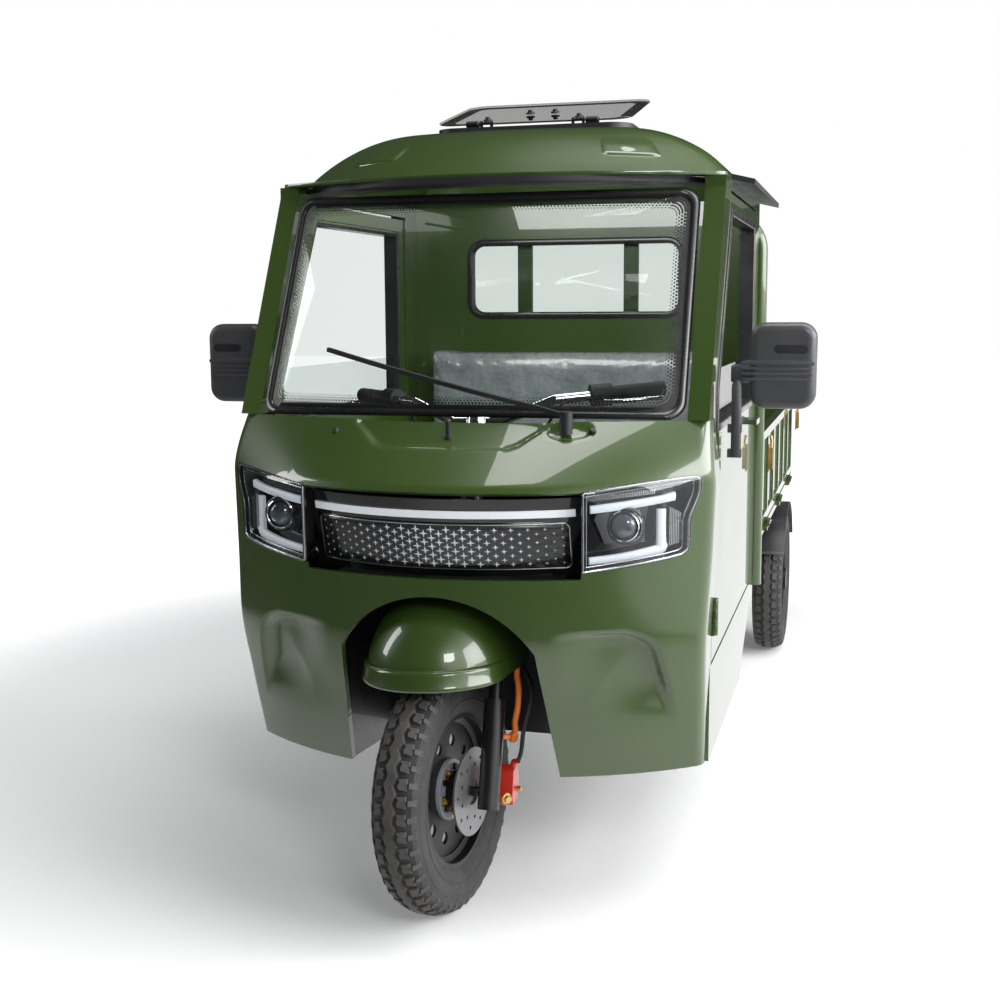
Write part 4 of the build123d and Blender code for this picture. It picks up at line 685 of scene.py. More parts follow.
def cut_faces(faces, gaps):
    """The faces outside the openings, with those on an edge cut along it."""
    kept = []
    for corners in faces:
        values = [gaps[index] for index in corners]
        zeros = [k for k in range(4) if values[k] == 0]
        if max(values) <= 0:
            continue
        if min(values) >= 0:
            kept.append(corners)
        elif len(zeros) == 2 and zeros[1] - zeros[0] == 2:
            kept += [(corners[k - 1], corners[k], corners[(k + 1) % 4]) for k in range(4) if values[k] > 0]
        elif sum(values) > 0:
            kept.append(tuple(corner for corner, value in zip(corners, values) if value >= 0))
    return [face for face in kept if len(face) > 2]


def front_skin():
    """Hood, nose and skirts as one pressing, cut along the wheel arch and the lamp band."""
    columns = skin_columns()
    made = [skin_point(kind, share, height) for height in SKIN_LEVELS for kind, share in columns]
    skin = Parts()
    skin.add([point for point, gap in made],
             cut_faces(grid_faces(len(SKIN_LEVELS), len(columns)), [gap for point, gap in made]))
    piece = skin.piece("front_skin", OLIVE, "olive_paint", sharp=None)
    form = bmesh.new()
    form.from_mesh(piece.data)
    bmesh.ops.delete(form, geom=[vertex for vertex in form.verts if not vertex.link_faces], context="VERTS")
    form.to_mesh(piece.data)
    form.free()
    solidify(piece, PANEL_WALL)
    bevel(piece, 1.5, angle=60)
    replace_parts(piece, "cab_front_panel")


front_skin()


# Headlights: a dark tub behind a clear lens, with a silver bezel, light guides and a projector
def dense_outline(outline, step):
    """Closed outline with points about a step apart."""
    result = []
    for (ax, az), (bx, bz) in zip(outline, outline[1:] + outline[:1]):
        pieces = max(1, round(math.hypot(bx - ax, bz - az) / step))
        result += [(lerp(ax, bx, k / pieces), lerp(az, bz, k / pieces)) for k in range(pieces)]
    return result


def inset_outline(outline, inset):
    """Closed outline moved inwards."""
    result = []
    count = len(outline)
    area = sum(a[0] * b[1] - b[0] * a[1] for a, b in zip(outline, outline[1:] + outline[:1]))
    sign = 1 if area > 0 else -1
    for index in range(count):
        ax, az = outline[index - 1]
        px, pz = outline[index]
        bx, bz = outline[(index + 1) % count]
        first = Vector((px - ax, pz - az)).normalized()
        second = Vector((bx - px, bz - pz)).normalized()
        inward = Vector((-first.y - second.y, first.x + second.x)).normalized() * sign
        stretch = 1 / max(0.5, math.sqrt(max(0.01, (1 + first.dot(second)) / 2)))
        result.append((px + inward.x * inset * stretch, pz + inward.y * inset * stretch))
    return result


LAMP_EDGE = dense_outline(LAMP_OUTLINE, 6)
LAMP_MIDDLE = (392, 820)
TUB_DEPTH = 46
GUIDE_DEPTH, GUIDE_THICKNESS, GUIDE_STEPS = 14, 9, 40
PROJECTOR = (363, 813)
PROJECTOR_DEPTH = 22


def nose_loop(outline, depth):
    return [on_nose(x, z, depth) for x, z in outline]


def lamp_loop(inset, depth, share=1):
    """The lamp's outline moved inwards, then drawn toward the lamp's middle."""
    middle_x, middle_z = LAMP_MIDDLE
    outline = inset_outline(LAMP_EDGE, inset)
    if share < 1:
        outline = [(lerp(middle_x, x, share), lerp(middle_z, z, share)) for x, z in outline]
    return nose_loop(outline, depth)


def bead(parts, path, radius, sides=8):
    """Closed round bead along a closed path on the nose."""
    count = len(path)
    rings = []
    for index in range(count):
        point = Vector(path[index])
        along = (Vector(path[(index + 1) % count]) - Vector(path[index - 1])).normalized()
        out = nose_normal(point.x, point.z)
        out = (out - along * out.dot(along)).normalized()
        side = along.cross(out)
        rings.append([tuple(point + (out * a + side * b) * radius) for a, b in circle(sides)])
    parts.hoop(rings)


def guide(parts, upper, lower):
    """Light guide between an upper and a lower edge, given as x and height."""
    upper = spline_points([(x, 0, z) for x, z in upper], GUIDE_STEPS)
    lower = spline_points([(x, 0, z) for x, z in lower], GUIDE_STEPS)
    section = ((0, GUIDE_THICKNESS), (0, 2), (0.15, 0), (0.5, -1), (0.85, 0), (1, 2), (1, GUIDE_THICKNESS))
    parts.loft([[on_nose(lerp(lx, ux, share), lerp(lz, uz, share), GUIDE_DEPTH + drop)
                 for share, drop in section]
                for (ux, _, uz), (lx, _, lz) in zip(upper, lower)])


def rib(parts, x, heights, foot_half, top_half, foot_depth, top_depth):
    """Thin upright rib of the lamp at a place across."""
    section = ((-foot_half, foot_depth), (-top_half, top_depth), (top_half, top_depth),
               (foot_half, foot_depth))
    parts.loft([[on_nose(x + across, z, depth) for across, depth in section] for z in heights])


tub = Parts()
TUB_WALL = ((0.6, 3), (4, 14), (10, TUB_DEPTH - 8), (14, TUB_DEPTH))
tub.cup([lamp_loop(inset, depth) for inset, depth in TUB_WALL]
        + [lamp_loop(14, TUB_DEPTH, share) for share in (0.7, 0.4, 0.1)])
lamp_tub = tub.mirrored().piece("lamp_tubs", GLOSS_BLACK, "gloss_black")
solidify(lamp_tub, 2)
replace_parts(lamp_tub, "headlight_housings")

bezel = Parts()
for inset, depth, radius in ((3.2, 2.5, 2.6), (10.5, 9, 1.7)):
    bead(bezel, lamp_loop(inset, depth), radius)
bezel.mirrored().piece("lamp_bezels", LAMP_SILVER, "steel")

guides = Parts()
guide(guides, [(309, 854), (374, 861), (434, 868), (463, 875)],
      [(309, 839), (374, 845), (435, 853), (463, 857)])
guide(guides, [(307, 752), (375, 759), (432, 770), (448, 776)],
      [(307, 738), (376, 743), (437, 752), (449, 764)])
guide(guides, [(432, 842), (432, 800), (432, 764)], [(447, 842), (447, 800), (448, 762)])
guides.mirrored().piece("lamp_guides", LAMP_WHITE, "white_lamp")

SIDE_RIBS, TOP_RIBS = 11, 32
ribs = Parts()
for index in range(SIDE_RIBS):
    share = index / (SIDE_RIBS - 1)
    foot, top = lerp(768, 776, share), lerp(846, 826, share)
    rib(ribs, 453 + 3 * index, (foot, lerp(foot, top, 0.33), lerp(foot, top, 0.66), top), 0.9, 0.7, 30, 13)
for index in range(TOP_RIBS):
    share = index / (TOP_RIBS - 1)
    rib(ribs, 300 + 4 * index, (lerp(863, 874, share), lerp(874, 886, share)), 1.1, 0.8, 26, 12)
ribs.mirrored().piece("lamp_ribs", LAMP_SILVER, "steel")

PROJECTOR_CENTRE = (PROJECTOR[0], nose_y(*PROJECTOR) + PROJECTOR_DEPTH, PROJECTOR[1])
SHROUD_RING = [(-6, 27), (-9, 30), (-8, 34), (0, 38), (14, 40), (26, 34), (26, 20), (4, 24)]
SHROUD_PLATE = [(318, 826), (338, 776), (385, 774), (412, 796), (420, 846), (396, 853), (330, 846)]
BALL_FRONT, BALL_RADIUS, BALL_STEPS = 21, 26.5, 9
shroud = Parts()
shroud.lathe(SHROUD_RING, PROJECTOR_CENTRE, (0, 1, 0), closed=True)
shroud.loft([nose_loop(dense_outline(SHROUD_PLATE, 9), depth) for depth in (28, 38)])
bevel(shroud.mirrored().piece("projector_shrouds", GLOSS_BLACK, "gloss_black"), 1.2, angle=35)
rings = Parts()
rings.lathe([(-9.5, 27.5), (-11, 29), (-9.5, 31), (-6, 30), (-5, 28)], PROJECTOR_CENTRE, (0, 1, 0),
            closed=True)
rings.mirrored().piece("projector_rings", CHROME, "chrome")
balls = Parts()
ball_angles = [math.pi / 2 * k / BALL_STEPS for k in range(1, BALL_STEPS + 1)]
ball = [(-BALL_FRONT * math.cos(angle), BALL_RADIUS * math.sin(angle)) for angle in ball_angles]
balls.lathe([(-BALL_FRONT, 0.4)] + ball + [(6, 24)], PROJECTOR_CENTRE, (0, 1, 0), sides=40)
balls.mirrored().piece("projector_lenses", LENS_SOLID, "clear")

lens = Parts()
lens.cup([lamp_loop(0.8, 0.8)] + [lamp_loop(3, 0.2, share) for share in (1, 0.93, 0.8, 0.6, 0.4, 0.2, 0.05)])
lamp_lens = solidify(lens.mirrored().piece("lamp_lenses", LENS, "clear", sharp=40), 2.4)
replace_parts(lamp_lens, "headlight_lenses")


# Grille: rows of small four-pointed studs that shrink towards both ends
GRILLE_LOW, GRILLE_HIGH = (712, -56), (885, -104)
GRILLE_RADIUS = 479
INSERT_PROUD = 3
INSERT_LOW, INSERT_HIGH, INSERT_HALF, INSERT_CORNER = 727, 821, 262, 12
STUD_COLUMN, STUD_ROW, STUD_COLUMNS = 31, 17.6, 17
STUD_MIDDLE_SIZE, STUD_END_SIZE, STUD_WAIST, STUD_HEIGHT_SHARE = 9.4, 3.4, 0.3, 0.88


def on_insert(x, height, proud=0):
    """A place on the grille's curved insert."""
    share = (height - GRILLE_LOW[0]) / (GRILLE_HIGH[0] - GRILLE_LOW[0])
    front = lerp(GRILLE_LOW[1], GRILLE_HIGH[1], share)
    return x, front + GRILLE_RADIUS - math.sqrt(GRILLE_RADIUS**2 - x * x) - INSERT_PROUD - proud, height


def insert_loop(inset):
    """Rounded outline of the grille's window, moved inwards."""
    width, height = (-INSERT_HALF, INSERT_HALF), (INSERT_LOW, INSERT_HIGH)
    return dense_outline(rounded_box(width, height, INSERT_CORNER, INSERT_CORNER - inset, 7, first=3), 16)


def insert_grid(margin, rows, columns):
    """Rows of places across the grille's window, as x and height."""
    return [[(lerp(-INSERT_HALF + margin, INSERT_HALF - margin, k / columns),
              lerp(INSERT_LOW + margin, INSERT_HIGH - margin, row / rows)) for k in range(columns + 1)]
            for row in range(rows + 1)]


def star(parts, x, z, size):
    """Four-pointed stud with a raised middle."""
    points = []
    for k, (a, b) in enumerate(circle(8)):
        reach = size if k % 2 == 0 else size * STUD_WAIST
        points.append(on_insert(x + reach * a, z + reach * STUD_HEIGHT_SHARE * b, 0.7))
    parts.add(points + [on_insert(x, z, 2.0)], [(8, (k + 1) % 8, k) for k in range(8)])


def film_proud(x, z):
    """Height of the protective film, which creases towards the grille's ends."""
    crease = smooth_step((abs(x) - 150) / 100)
    wave = math.sin(x * 0.19 + z * 0.31) + math.sin(x * 0.07 - z * 0.43) + math.sin((x + z) * 0.37)
    return 2.6 + 0.55 * crease * wave


window = Parts()
window.rows([[on_insert(x, z, proud) for x, z in insert_loop(inset)] for inset, proud in
             ((-1, -4), (-0.5, 1.2), (0.8, 2.2), (2.2, 1.6), (2.6, 0.4))], closed_columns=True)
window.piece("grille_edge", LAMP_SILVER, "steel")
backing = Parts()
backing.rows([[on_insert(x, z, 0.3) for x, z in row] for row in insert_grid(2, 8, 40)])
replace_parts(solidify(backing.piece("grille_window", GRILLE_BLACK, "gloss_black", sharp=None), 4),
            "grille_insert")
studs = Parts()
for column in range(-STUD_COLUMNS, STUD_COLUMNS + 1):
    x = column * STUD_COLUMN / 2
    if abs(x) > INSERT_HALF - 9:
        continue
    size = lerp(STUD_MIDDLE_SIZE, STUD_END_SIZE, smooth_step(abs(x) / INSERT_HALF))
    count = 5 - column % 2
    for row in range(count):
        star(studs, x, (INSERT_LOW + INSERT_HIGH) / 2 + (row - (count - 1) / 2) * STUD_ROW, size)
studs.piece("grille_studs", STUD_GREY, "steel", sharp=10)
film = Parts()
film.rows([[on_insert(x, z, film_proud(x, z)) for x, z in row] for row in insert_grid(3, 16, 80)])
film.piece("grille_film", FILM, "clear", sharp=None)


# Windscreen: black printed border that breaks up into dots
def hit_front(node, x, height):
    """Station of a node's front face, looking back from in front of the truck."""
    found, place, normal, index = nodes[node].ray_cast(at(x, -1500, height), Vector((0, 1, 0)))
    return (place.y - AXLE_Y) / MM if found else None


SCREEN_PROBE_LOW, SCREEN_PROBE_HIGH = 1070, 1430
SCREEN_FRONT = hit_front("cab_glass", 0, SCREEN_PROBE_LOW)
SCREEN_RISE = hit_front("cab_glass", 0, SCREEN_PROBE_HIGH) - SCREEN_FRONT
SCREEN_SLOPE = SCREEN_RISE / (SCREEN_PROBE_HIGH - SCREEN_PROBE_LOW)
SCREEN_RADIUS = 1140
SCREEN_LOW, SCREEN_HIGH = 1012, 1486
SCREEN_HALF_LOW, SCREEN_HALF_HIGH = 459, 456
SCREEN_CORNER = 34
GASKET_INSET, GLASS_INSET, FRIT_INSET = 15, 11, 24
DOT_ROWS = ((26.5, 3.2), (32.5, 2.6), (38, 2.0), (43, 1.4))
DOT_STEP = 7.2
REAR_HALF, REAR_LOW, REAR_HIGH, REAR_CORNER = 305, 1212, 1422, 42
REAR_GLASS_Y = (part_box("cab_glass")[1].y - AXLE_Y) / MM - 2.5
WALL_FRONT, WALL_REAR = 1225, 1250


def on_screen(x, height, proud=0.4):
    """A place on the windscreen's curved face."""
    centre = SCREEN_FRONT + (height - SCREEN_PROBE_LOW) * SCREEN_SLOPE
    return x, centre + SCREEN_RADIUS - math.sqrt(SCREEN_RADIUS**2 - x * x) - proud, height


def screen_outline(inset):
    """Outline of the windscreen's opening, moved inwards, with round corners."""
    corner = max(8, SCREEN_CORNER - inset * 0.4)
    reach = inset + corner
    low, high = SCREEN_HALF_LOW - reach, SCREEN_HALF_HIGH - reach
    foot, top = SCREEN_LOW + reach, SCREEN_HIGH - reach
    points = []
    for x, z, start in ((low, foot, -90), (high, top, 0), (-high, top, 90), (-low, foot, 180)):
        points += arc(x, z, corner, start, 90, 9)
    return points


def rear_loop(inset, y):
    """Outline of the rear window, moved inwards."""
    width, height = (-REAR_HALF, REAR_HALF), (REAR_LOW, REAR_HIGH)
    return [(x, y, z) for x, z in rounded_box(width, height, REAR_CORNER, REAR_CORNER - inset, 10, first=3)]


seal = Parts()
seal.hoop([[on_screen(x, z, proud) for x, z in screen_outline(inset)] for inset, proud in
           ((-1, -12), (-1, 2), (2, 6.5), (7, 8.5), (11, 7), (GASKET_INSET, 2.5), (GASKET_INSET, -12))])
seal.hoop([rear_loop(inset, y) for inset, y in
           ((0, WALL_FRONT), (-5, WALL_FRONT - 0.5), (-6, WALL_FRONT - 4), (0, WALL_FRONT - 7),
            (8, WALL_FRONT - 5), (12, REAR_GLASS_Y - 3), (12, REAR_GLASS_Y + 3), (8, WALL_REAR + 5),
            (0, WALL_REAR + 7), (-6, WALL_REAR + 4), (-5, WALL_REAR + 0.5), (0, WALL_REAR))])
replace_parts(seal.piece("window_seals", GASKET, "rubber", sharp=50), "window_gaskets")

panes = Parts()
full = screen_outline(GLASS_INSET)
panes.cup([[on_screen(x * share, lerp((SCREEN_LOW + SCREEN_HIGH) / 2, z, share), 0) for x, z in full]
           for share in (1, 0.985, 0.9, 0.75, 0.55, 0.35, 0.15, 0.02)])
panes.cup([rear_loop(10, REAR_GLASS_Y - 2.2)])
pane = solidify(panes.piece("window_panes", CLEAR, "clear", sharp=30), 4.4)
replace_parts(pane, "cab_glass")

border = Parts()
border.rows([[on_screen(x, z) for x, z in screen_outline(inset)]
             for inset in (GASKET_INSET - 2, 20, FRIT_INSET)], closed_columns=True)
for inset, radius in DOT_ROWS:
    for x, z in dense_outline(screen_outline(inset), DOT_STEP):
        border.add([on_screen(x + radius * a, z + radius * b) for a, b in circle(8)], [tuple(range(8))])
border.piece("screen_border", FRIT, "black_plastic", sharp=None)


# Tyres: carcass, zigzag centre rib, notched blocks and shoulder lugs
TREAD_DEPTH = 8
TREAD_FOOT = TREAD_DEPTH + 1.5
TREAD_PITCHES = 46
PITCH = 2 * math.pi / TREAD_PITCHES
TYRE_STEPS = 96
TYRE_AROUND = [2 * math.pi * k / TYRE_STEPS for k in range(TYRE_STEPS)]
# Sections are given for a tyre whose half width is this
SECTION_HALF_WIDTH = 50
TYRE_OUTER = [(34, 156), (40, 164), (45.5, 178), (49.2, 196), (49.6, 210), (47.5, 226), (43, 237),
              (34, 241.5), (18, 245), (0, 246)]
TYRE_INNER = [(0, 239), (30, 234), (41, 220), (43, 205), (38, 178), (30, 160)]
WALL_LINES = ((48.6, 186), (49.9, 214))
WALL_LINE_SECTION = ((-1.5, -2.2), (0.1, 0), (-1.5, 2.2))
BLOCK = [(16, 0.1), (19.5, 0.3), (16, 0.5), (18.5, 0.72), (33.5, 0.78), (34, 0.47), (30.5, 0.43), (34, 0.39),
         (33.5, 0.06)]
LUG = [(37.5, 0.28), (37.5, 0.62), (44.5, 0.62), (47.5, 0.66), (47.8, 0.48), (45.5, 0.44), (47.8, 0.40),
       (47.5, 0.22), (44.5, 0.28)]
RIB_SECTION = [(-11.5, TREAD_FOOT), (-9.6, 0.6), (-8.6, 0), (8.6, 0), (9.6, 0.6), (11.5, TREAD_FOOT)]
RIB_SWAY = (3.4, 0, -3.4, 0)


def tread_radius(across):
    """Radius of the tread's face at a distance from the tyre's middle."""
    across = abs(across)
    return TYRE_RADIUS - 0.6 - 10 * (across / 40) ** 2 - 10 * max(0, (across - 38) / 10) ** 1.5


def carcass_parts(spot):
    """Rubber body with two raised lines on each wall."""
    other_side = [(-u, r) for u, r in TYRE_OUTER[-2::-1] + TYRE_INNER[:0:-1]]
    section = TYRE_OUTER + other_side + TYRE_INNER
    parts = Parts()
    parts.hoop([[spot(u, angle, r) for angle in TYRE_AROUND] for u, r in section])
    for bulge, radius in WALL_LINES:
        for sign in (-1, 1):
            parts.rows([[spot(sign * (bulge + rise), angle, radius + step) for angle in TYRE_AROUND]
                        for rise, step in WALL_LINE_SECTION], closed_columns=True)
    return parts


def block(parts, spot, outline, start, chamfer):
    """Raised block from an outline of place across and share of a pitch."""
    middle_u = sum(u for u, _ in outline) / len(outline)
    middle_s = sum(s for _, s in outline) / len(outline)
    parts.cup([[spot(lerp(u, middle_u, shrink), (start + lerp(s, middle_s, shrink)) * PITCH,
                     tread_radius(u) - drop) for u, s in outline]
               for shrink, drop in ((0, TREAD_FOOT), (0.04, 1), (chamfer, 0))])


def tread_parts(spot):
    """Blocks and lugs on both sides of the zigzag rib."""
    parts = Parts()
    for step in range(TREAD_PITCHES):
        block(parts, spot, [(-u, s) for u, s in reversed(BLOCK)], step + 0.5, 0.12)
        block(parts, spot, [(-u, s) for u, s in reversed(LUG)], step + 0.5, 0.06)
        block(parts, spot, BLOCK, step, 0.12)
        block(parts, spot, LUG, step, 0.06)
    parts.rows([[spot(u + RIB_SWAY[k % 4], PITCH * k / 4, tread_radius(u) - drop) for u, drop in RIB_SECTION]
                for k in range(TREAD_PITCHES * 4)], closed_rows=True)
    return parts


def tyre(name, node, body, half_width, place):
    """Carcass and tread, set in place by a function from the wheel's own axes."""
    def spot(u, angle, radius):
        across = u * half_width / SECTION_HALF_WIDTH
        return place((across, radius * math.cos(angle), radius * math.sin(angle)))

    carcass = carcass_parts(spot).piece(name, TYRE_RUBBER, "tyre", body=body, sharp=32)
    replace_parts(carcass, node)
    # The tread's lighter rubber is a painted highlight, and the darker carcass between its blocks is painted
    # shade in the grooves.
    tread_parts(spot).piece(name + "_tread", TREAD_RUBBER_PAINTED_HIGHLIGHT, "tyre", body=body, sharp=25)


def rear_place(node):
    """Function that sets a place of a rear wheel's own axes in the truck."""
    low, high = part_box(node)
    middle_x = (low.x + high.x) / 2 / MM
    return lambda point: (middle_x + point[0], WHEELBASE + point[1], TYRE_RADIUS + point[2])


SIDES = ((1, "left"), (-1, "right"))
tyre("tyre_front", "front_tyre", "front_wheel", 50, on_fork)
for _, name in SIDES:
    tyre("tyre_" + name, "rear_tyre_" + name, name + "_rear_wheel", 52, rear_place("rear_tyre_" + name))


# Rolled lip of the front mudguard
GUARD_HALF_WIDTH, GUARD_NOSE_LENGTH, GUARD_NOSE_START, GUARD_STEPS = 147, 155, 10, 64
GUARD_SECTION = [(-6, 539), (1, 537), (6, 534), (7.5, 529), (8.5, 512), (12, 506), (13, 501), (11, 498),
                 (6, 499), (5, 510), (-4, 512)]
lip_rings = []
for k in range(GUARD_STEPS + 1):
    angle = math.pi * (k / GUARD_STEPS - 0.5)
    weight = smooth_step(math.cos(angle) / 0.5)
    out = Vector((math.sin(angle) / GUARD_HALF_WIDTH, -math.cos(angle) / GUARD_NOSE_LENGTH, 0)).normalized()
    edge = Vector((GUARD_HALF_WIDTH * math.sin(angle),
                   GUARD_NOSE_START - GUARD_NOSE_LENGTH * math.cos(angle), 0))
    lip_rings.append([turned(edge + out * (reach * weight if reach > 0 else reach) + Vector((0, 0, z)))
                      for reach, z in GUARD_SECTION])
lip = Parts()
lip.loft(lip_rings)
lip.piece("mudguard_lip", OLIVE, "olive_paint", body="steering", sharp=50)


# Door mirrors: rounded housing, raised band with ribs, arm and stalk
MIRROR_X, MIRROR_Y, MIRROR_Z, MIRROR_CORNER = (566, 706), 379, (1018, 1202), 34
# Sections of the housing are inset and depth, those of the arm are place, half height and half depth
HOUSING_SECTIONS = ((20, 0.6), (14, 0.9), (8, 3), (3.5, 7.5), (1, 13), (0, 19), (0, 39), (1, 42), (4, 42),
                    (6, 39))
ARM_SECTIONS = ((527, 17, 10), (532, 20, 13), (556, 20, 14), (600, 20, 13))
ARM_Y, ARM_Z = 398, 1093
STALK_X, STALK_Y = 540, 392
CRESCENT_STEPS = 24
MARKER_ENDS, MARKER_Z, MARKER_RADIUS = (680, 628), 1146, 9


def mirror_loop(inset, y):
    """Outline of the mirror, moved inwards."""
    return [(x, y, z) for x, z in rounded_box(MIRROR_X, MIRROR_Z, MIRROR_CORNER, MIRROR_CORNER - inset, 9)]


def mirror_shell():
    """Housing of the left mirror with its arm, band, ribs, stalk and clamps."""
    shell = Parts()
    shell.loft([mirror_loop(inset, MIRROR_Y + y) for inset, y in HOUSING_SECTIONS])
    shell.loft([[(x, ARM_Y + half_depth * a, ARM_Z + half_height * b) for a, b in squared_circle(16, 0.5)]
                for x, half_height, half_depth in ARM_SECTIONS])
    crescent = []
    for k in range(CRESCENT_STEPS + 1):
        x = lerp(548, 702, k / CRESCENT_STEPS)
        rise = math.sin(math.pi * k / CRESCENT_STEPS) ** 0.6
        front = 380 - 3.5 * rise
        crescent.append([(x, 381, 1119 + 7 * rise), (x, front, 1118), (x, front, 1113), (x, 381, 1111)])
    shell.loft(crescent)
    for z in (1104, 1093, 1082):
        shell.tube([(551, 382, z), (556, 380.4, z), (620, 380.4, z), (690, 380.4, z), (697, 382, z)], 3.1)
    shell.loft([[(STALK_X + half * a, STALK_Y + half * b, z) for a, b in squared_circle(16, 0.6)]
                for z, half in ((913, 9.6), (917, 11), (1068, 11), (1074, 8.5), (1080, 8.5))])
    for z in (921, 975):
        shell.box((522, 552), (384, 404), (z - 9, z + 9))
    return shell


def mirror_marker():
    """Flat oval plate on the front of the left mirror."""
    oval = []
    for x, start in zip(MARKER_ENDS, (-90, 90)):
        oval += arc(x, MARKER_Z, MARKER_RADIUS, start, 180, 11)
    middle = sum(MARKER_ENDS) / 2
    marker = Parts()
    marker.cup([[(x, 381, z) for x, z in oval], [(x, 378.8, z) for x, z in oval],
                [(lerp(middle, x, 0.95), 378.6, lerp(MARKER_Z, z, 0.86)) for x, z in oval]])
    return marker


mirror_pane = Parts()
mirror_pane.loft([mirror_loop(6.5, 419.5), mirror_loop(7.5, 420.5)])
for sign, name in SIDES:
    body = name + "_door"
    mirror = mirror_shell().sided(sign).piece("mirror_" + name, MIRROR_PLASTIC, "black_plastic", body=body,
                                              sharp=40)
    bevel(mirror, 1.5, angle=50)
    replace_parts(mirror, "door_mirror_" + name)
    mirror_marker().sided(sign).piece("mirror_marker_" + name, BLACK_PLASTIC, "black_plastic", body=body)
    mirror_pane.sided(sign).piece("mirror_glass_" + name, CHROME, "chrome", body=body)


# Roof: pressed flats at the front corners and the studs of the hatch
PAD_CORNERS = ((238, 1563), (366, 1559), (324, 1614), (212, 1620))
PAD_STEPS = 16
PAD_WIDTH, PAD_HEIGHT, PAD_BOSS_RADIUS = 88, 52, 11


def on_roof(x, height, proud):
    """A place on the front of the roof."""
    y = hit_front("roof_shell", x, height)
    return x, (y if y is not None else 600) - proud, height


def pad_place(s, t):
    """A place of the left flat, at its shares across and upward."""
    (low_x, low_z), (end_x, end_z), (far_x, far_z), (top_x, top_z) = PAD_CORNERS
    x = lerp(lerp(low_x, end_x, s), lerp(top_x, far_x, s), t)
    z = lerp(lerp(low_z, end_z, s), lerp(top_z, far_z, s), t)
    edge = smooth_step(min(s, 1 - s) / 0.12) * smooth_step(t / 0.14)
    fade = 1 - smooth_step((t - 0.45) / 0.5)
    boss = max(0, 1 - math.hypot((s - 0.5) * PAD_WIDTH, (t - 0.45) * PAD_HEIGHT) / PAD_BOSS_RADIUS)
    return on_roof(x, z, -1.2 + edge * (1.5 + 7 * fade) + 3 * smooth_step(boss * 2.2))


pads = Parts()
pads.rows([[pad_place(column / PAD_STEPS, row / PAD_STEPS) for column in range(PAD_STEPS + 1)]
           for row in range(PAD_STEPS + 1)])
pads.mirrored().piece("roof_pads", OLIVE, "olive_paint", sharp=None)

HATCH_AXIS_Y, HATCH_AXIS_Z, HATCH_TILT = 742, 1686, math.radians(15)
hatch_low, hatch_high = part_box("hatch_glass")
HATCH_HALF = (hatch_high.x - hatch_low.x) / 2 / MM
HATCH_CORNER, HATCH_FROM, HATCH_TO, HATCH_EDGE = 48, -14, 334, 36


def on_hatch(x, along, up=0):
    """A place on the hatch, from the middle of its hinge."""
    return (x, HATCH_AXIS_Y + along * math.cos(HATCH_TILT) - up * math.sin(HATCH_TILT),
            HATCH_AXIS_Z + along * math.sin(HATCH_TILT) + up * math.cos(HATCH_TILT))


def hatch_loop(inset, up):
    """Outline of the hatch's pane, moved inwards."""
    corner = HATCH_CORNER - inset * 0.6
    width, length = (-HATCH_HALF, HATCH_HALF), (HATCH_FROM, HATCH_TO)
    return [on_hatch(x, along, up) for x, along in rounded_box(width, length, inset + corner, corner, 10)]


hatch_studs = Parts()
hatch_up = Vector(on_hatch(0, 0, 1)) - Vector(on_hatch(0, 0, 0))
for x, along, signs in ((-115, 14, (1,)), (115, 14, (1,)), (-32, 118, (-1, 1)), (32, 118, (-1, 1))):
    for sign in signs:
        hatch_studs.lathe([(0, 11), (3, 11), (4, 9.5), (4.2, 6), (9, 6), (10, 5)],
                          on_hatch(x, along, 2.8 * sign), hatch_up * sign, sides=20)
hatch_studs.piece("hatch_studs", BLACK_PLASTIC, "black_plastic", body="roof_hatch")


# Roof hatch: smoked pane with a darker printed edge
hatch_pane = Parts()
hatch_pane.loft([hatch_loop(inset, up) for inset, up in ((1.5, -2.5), (0, -1), (0, 1), (1.5, 2.5))])
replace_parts(hatch_pane.piece("hatch_pane", HATCH_GLASS, "tinted", body="roof_hatch", sharp=30), "hatch_glass")
hatch_border = Parts()
hatch_border.hoop([hatch_loop(inset, up) for inset, up in
                   ((1.5, -2.8), (HATCH_EDGE, -2.8), (HATCH_EDGE, -2.9), (1.5, -2.9))])
hatch_border.piece("hatch_border", HATCH_PRINT, "tinted", body="roof_hatch", sharp=30)
lugs = Parts()
for x in (-150, 150):
    lugs.lathe([(-16, 7), (-14, 9), (14, 9), (16, 7)], (x, HATCH_AXIS_Y, HATCH_AXIS_Z - 3), (1, 0, 0),
               sides=20)
lugs.piece("hatch_lugs", BLACK_PLASTIC, "black_plastic", body="roof_hatch")


# Front wheel: silver hub, brass bolts, red caliper, hose and cable
PROBE_START = 200
HUB_BOLTS, BOLT_CIRCLE, FIRST_BOLT = 5, 47, 0.35


def wheel_face(reach):
    """Outermost face of the rim at a distance from the wheel's axle."""
    start = at(*on_fork((PROBE_START, 0, reach)))
    toward = (at(*on_fork((0, 0, reach))) - start).normalized()
    found, place, normal, index = nodes["front_rim"].ray_cast(start, toward)
    return PROBE_START - (place - start).length / MM if found else 20


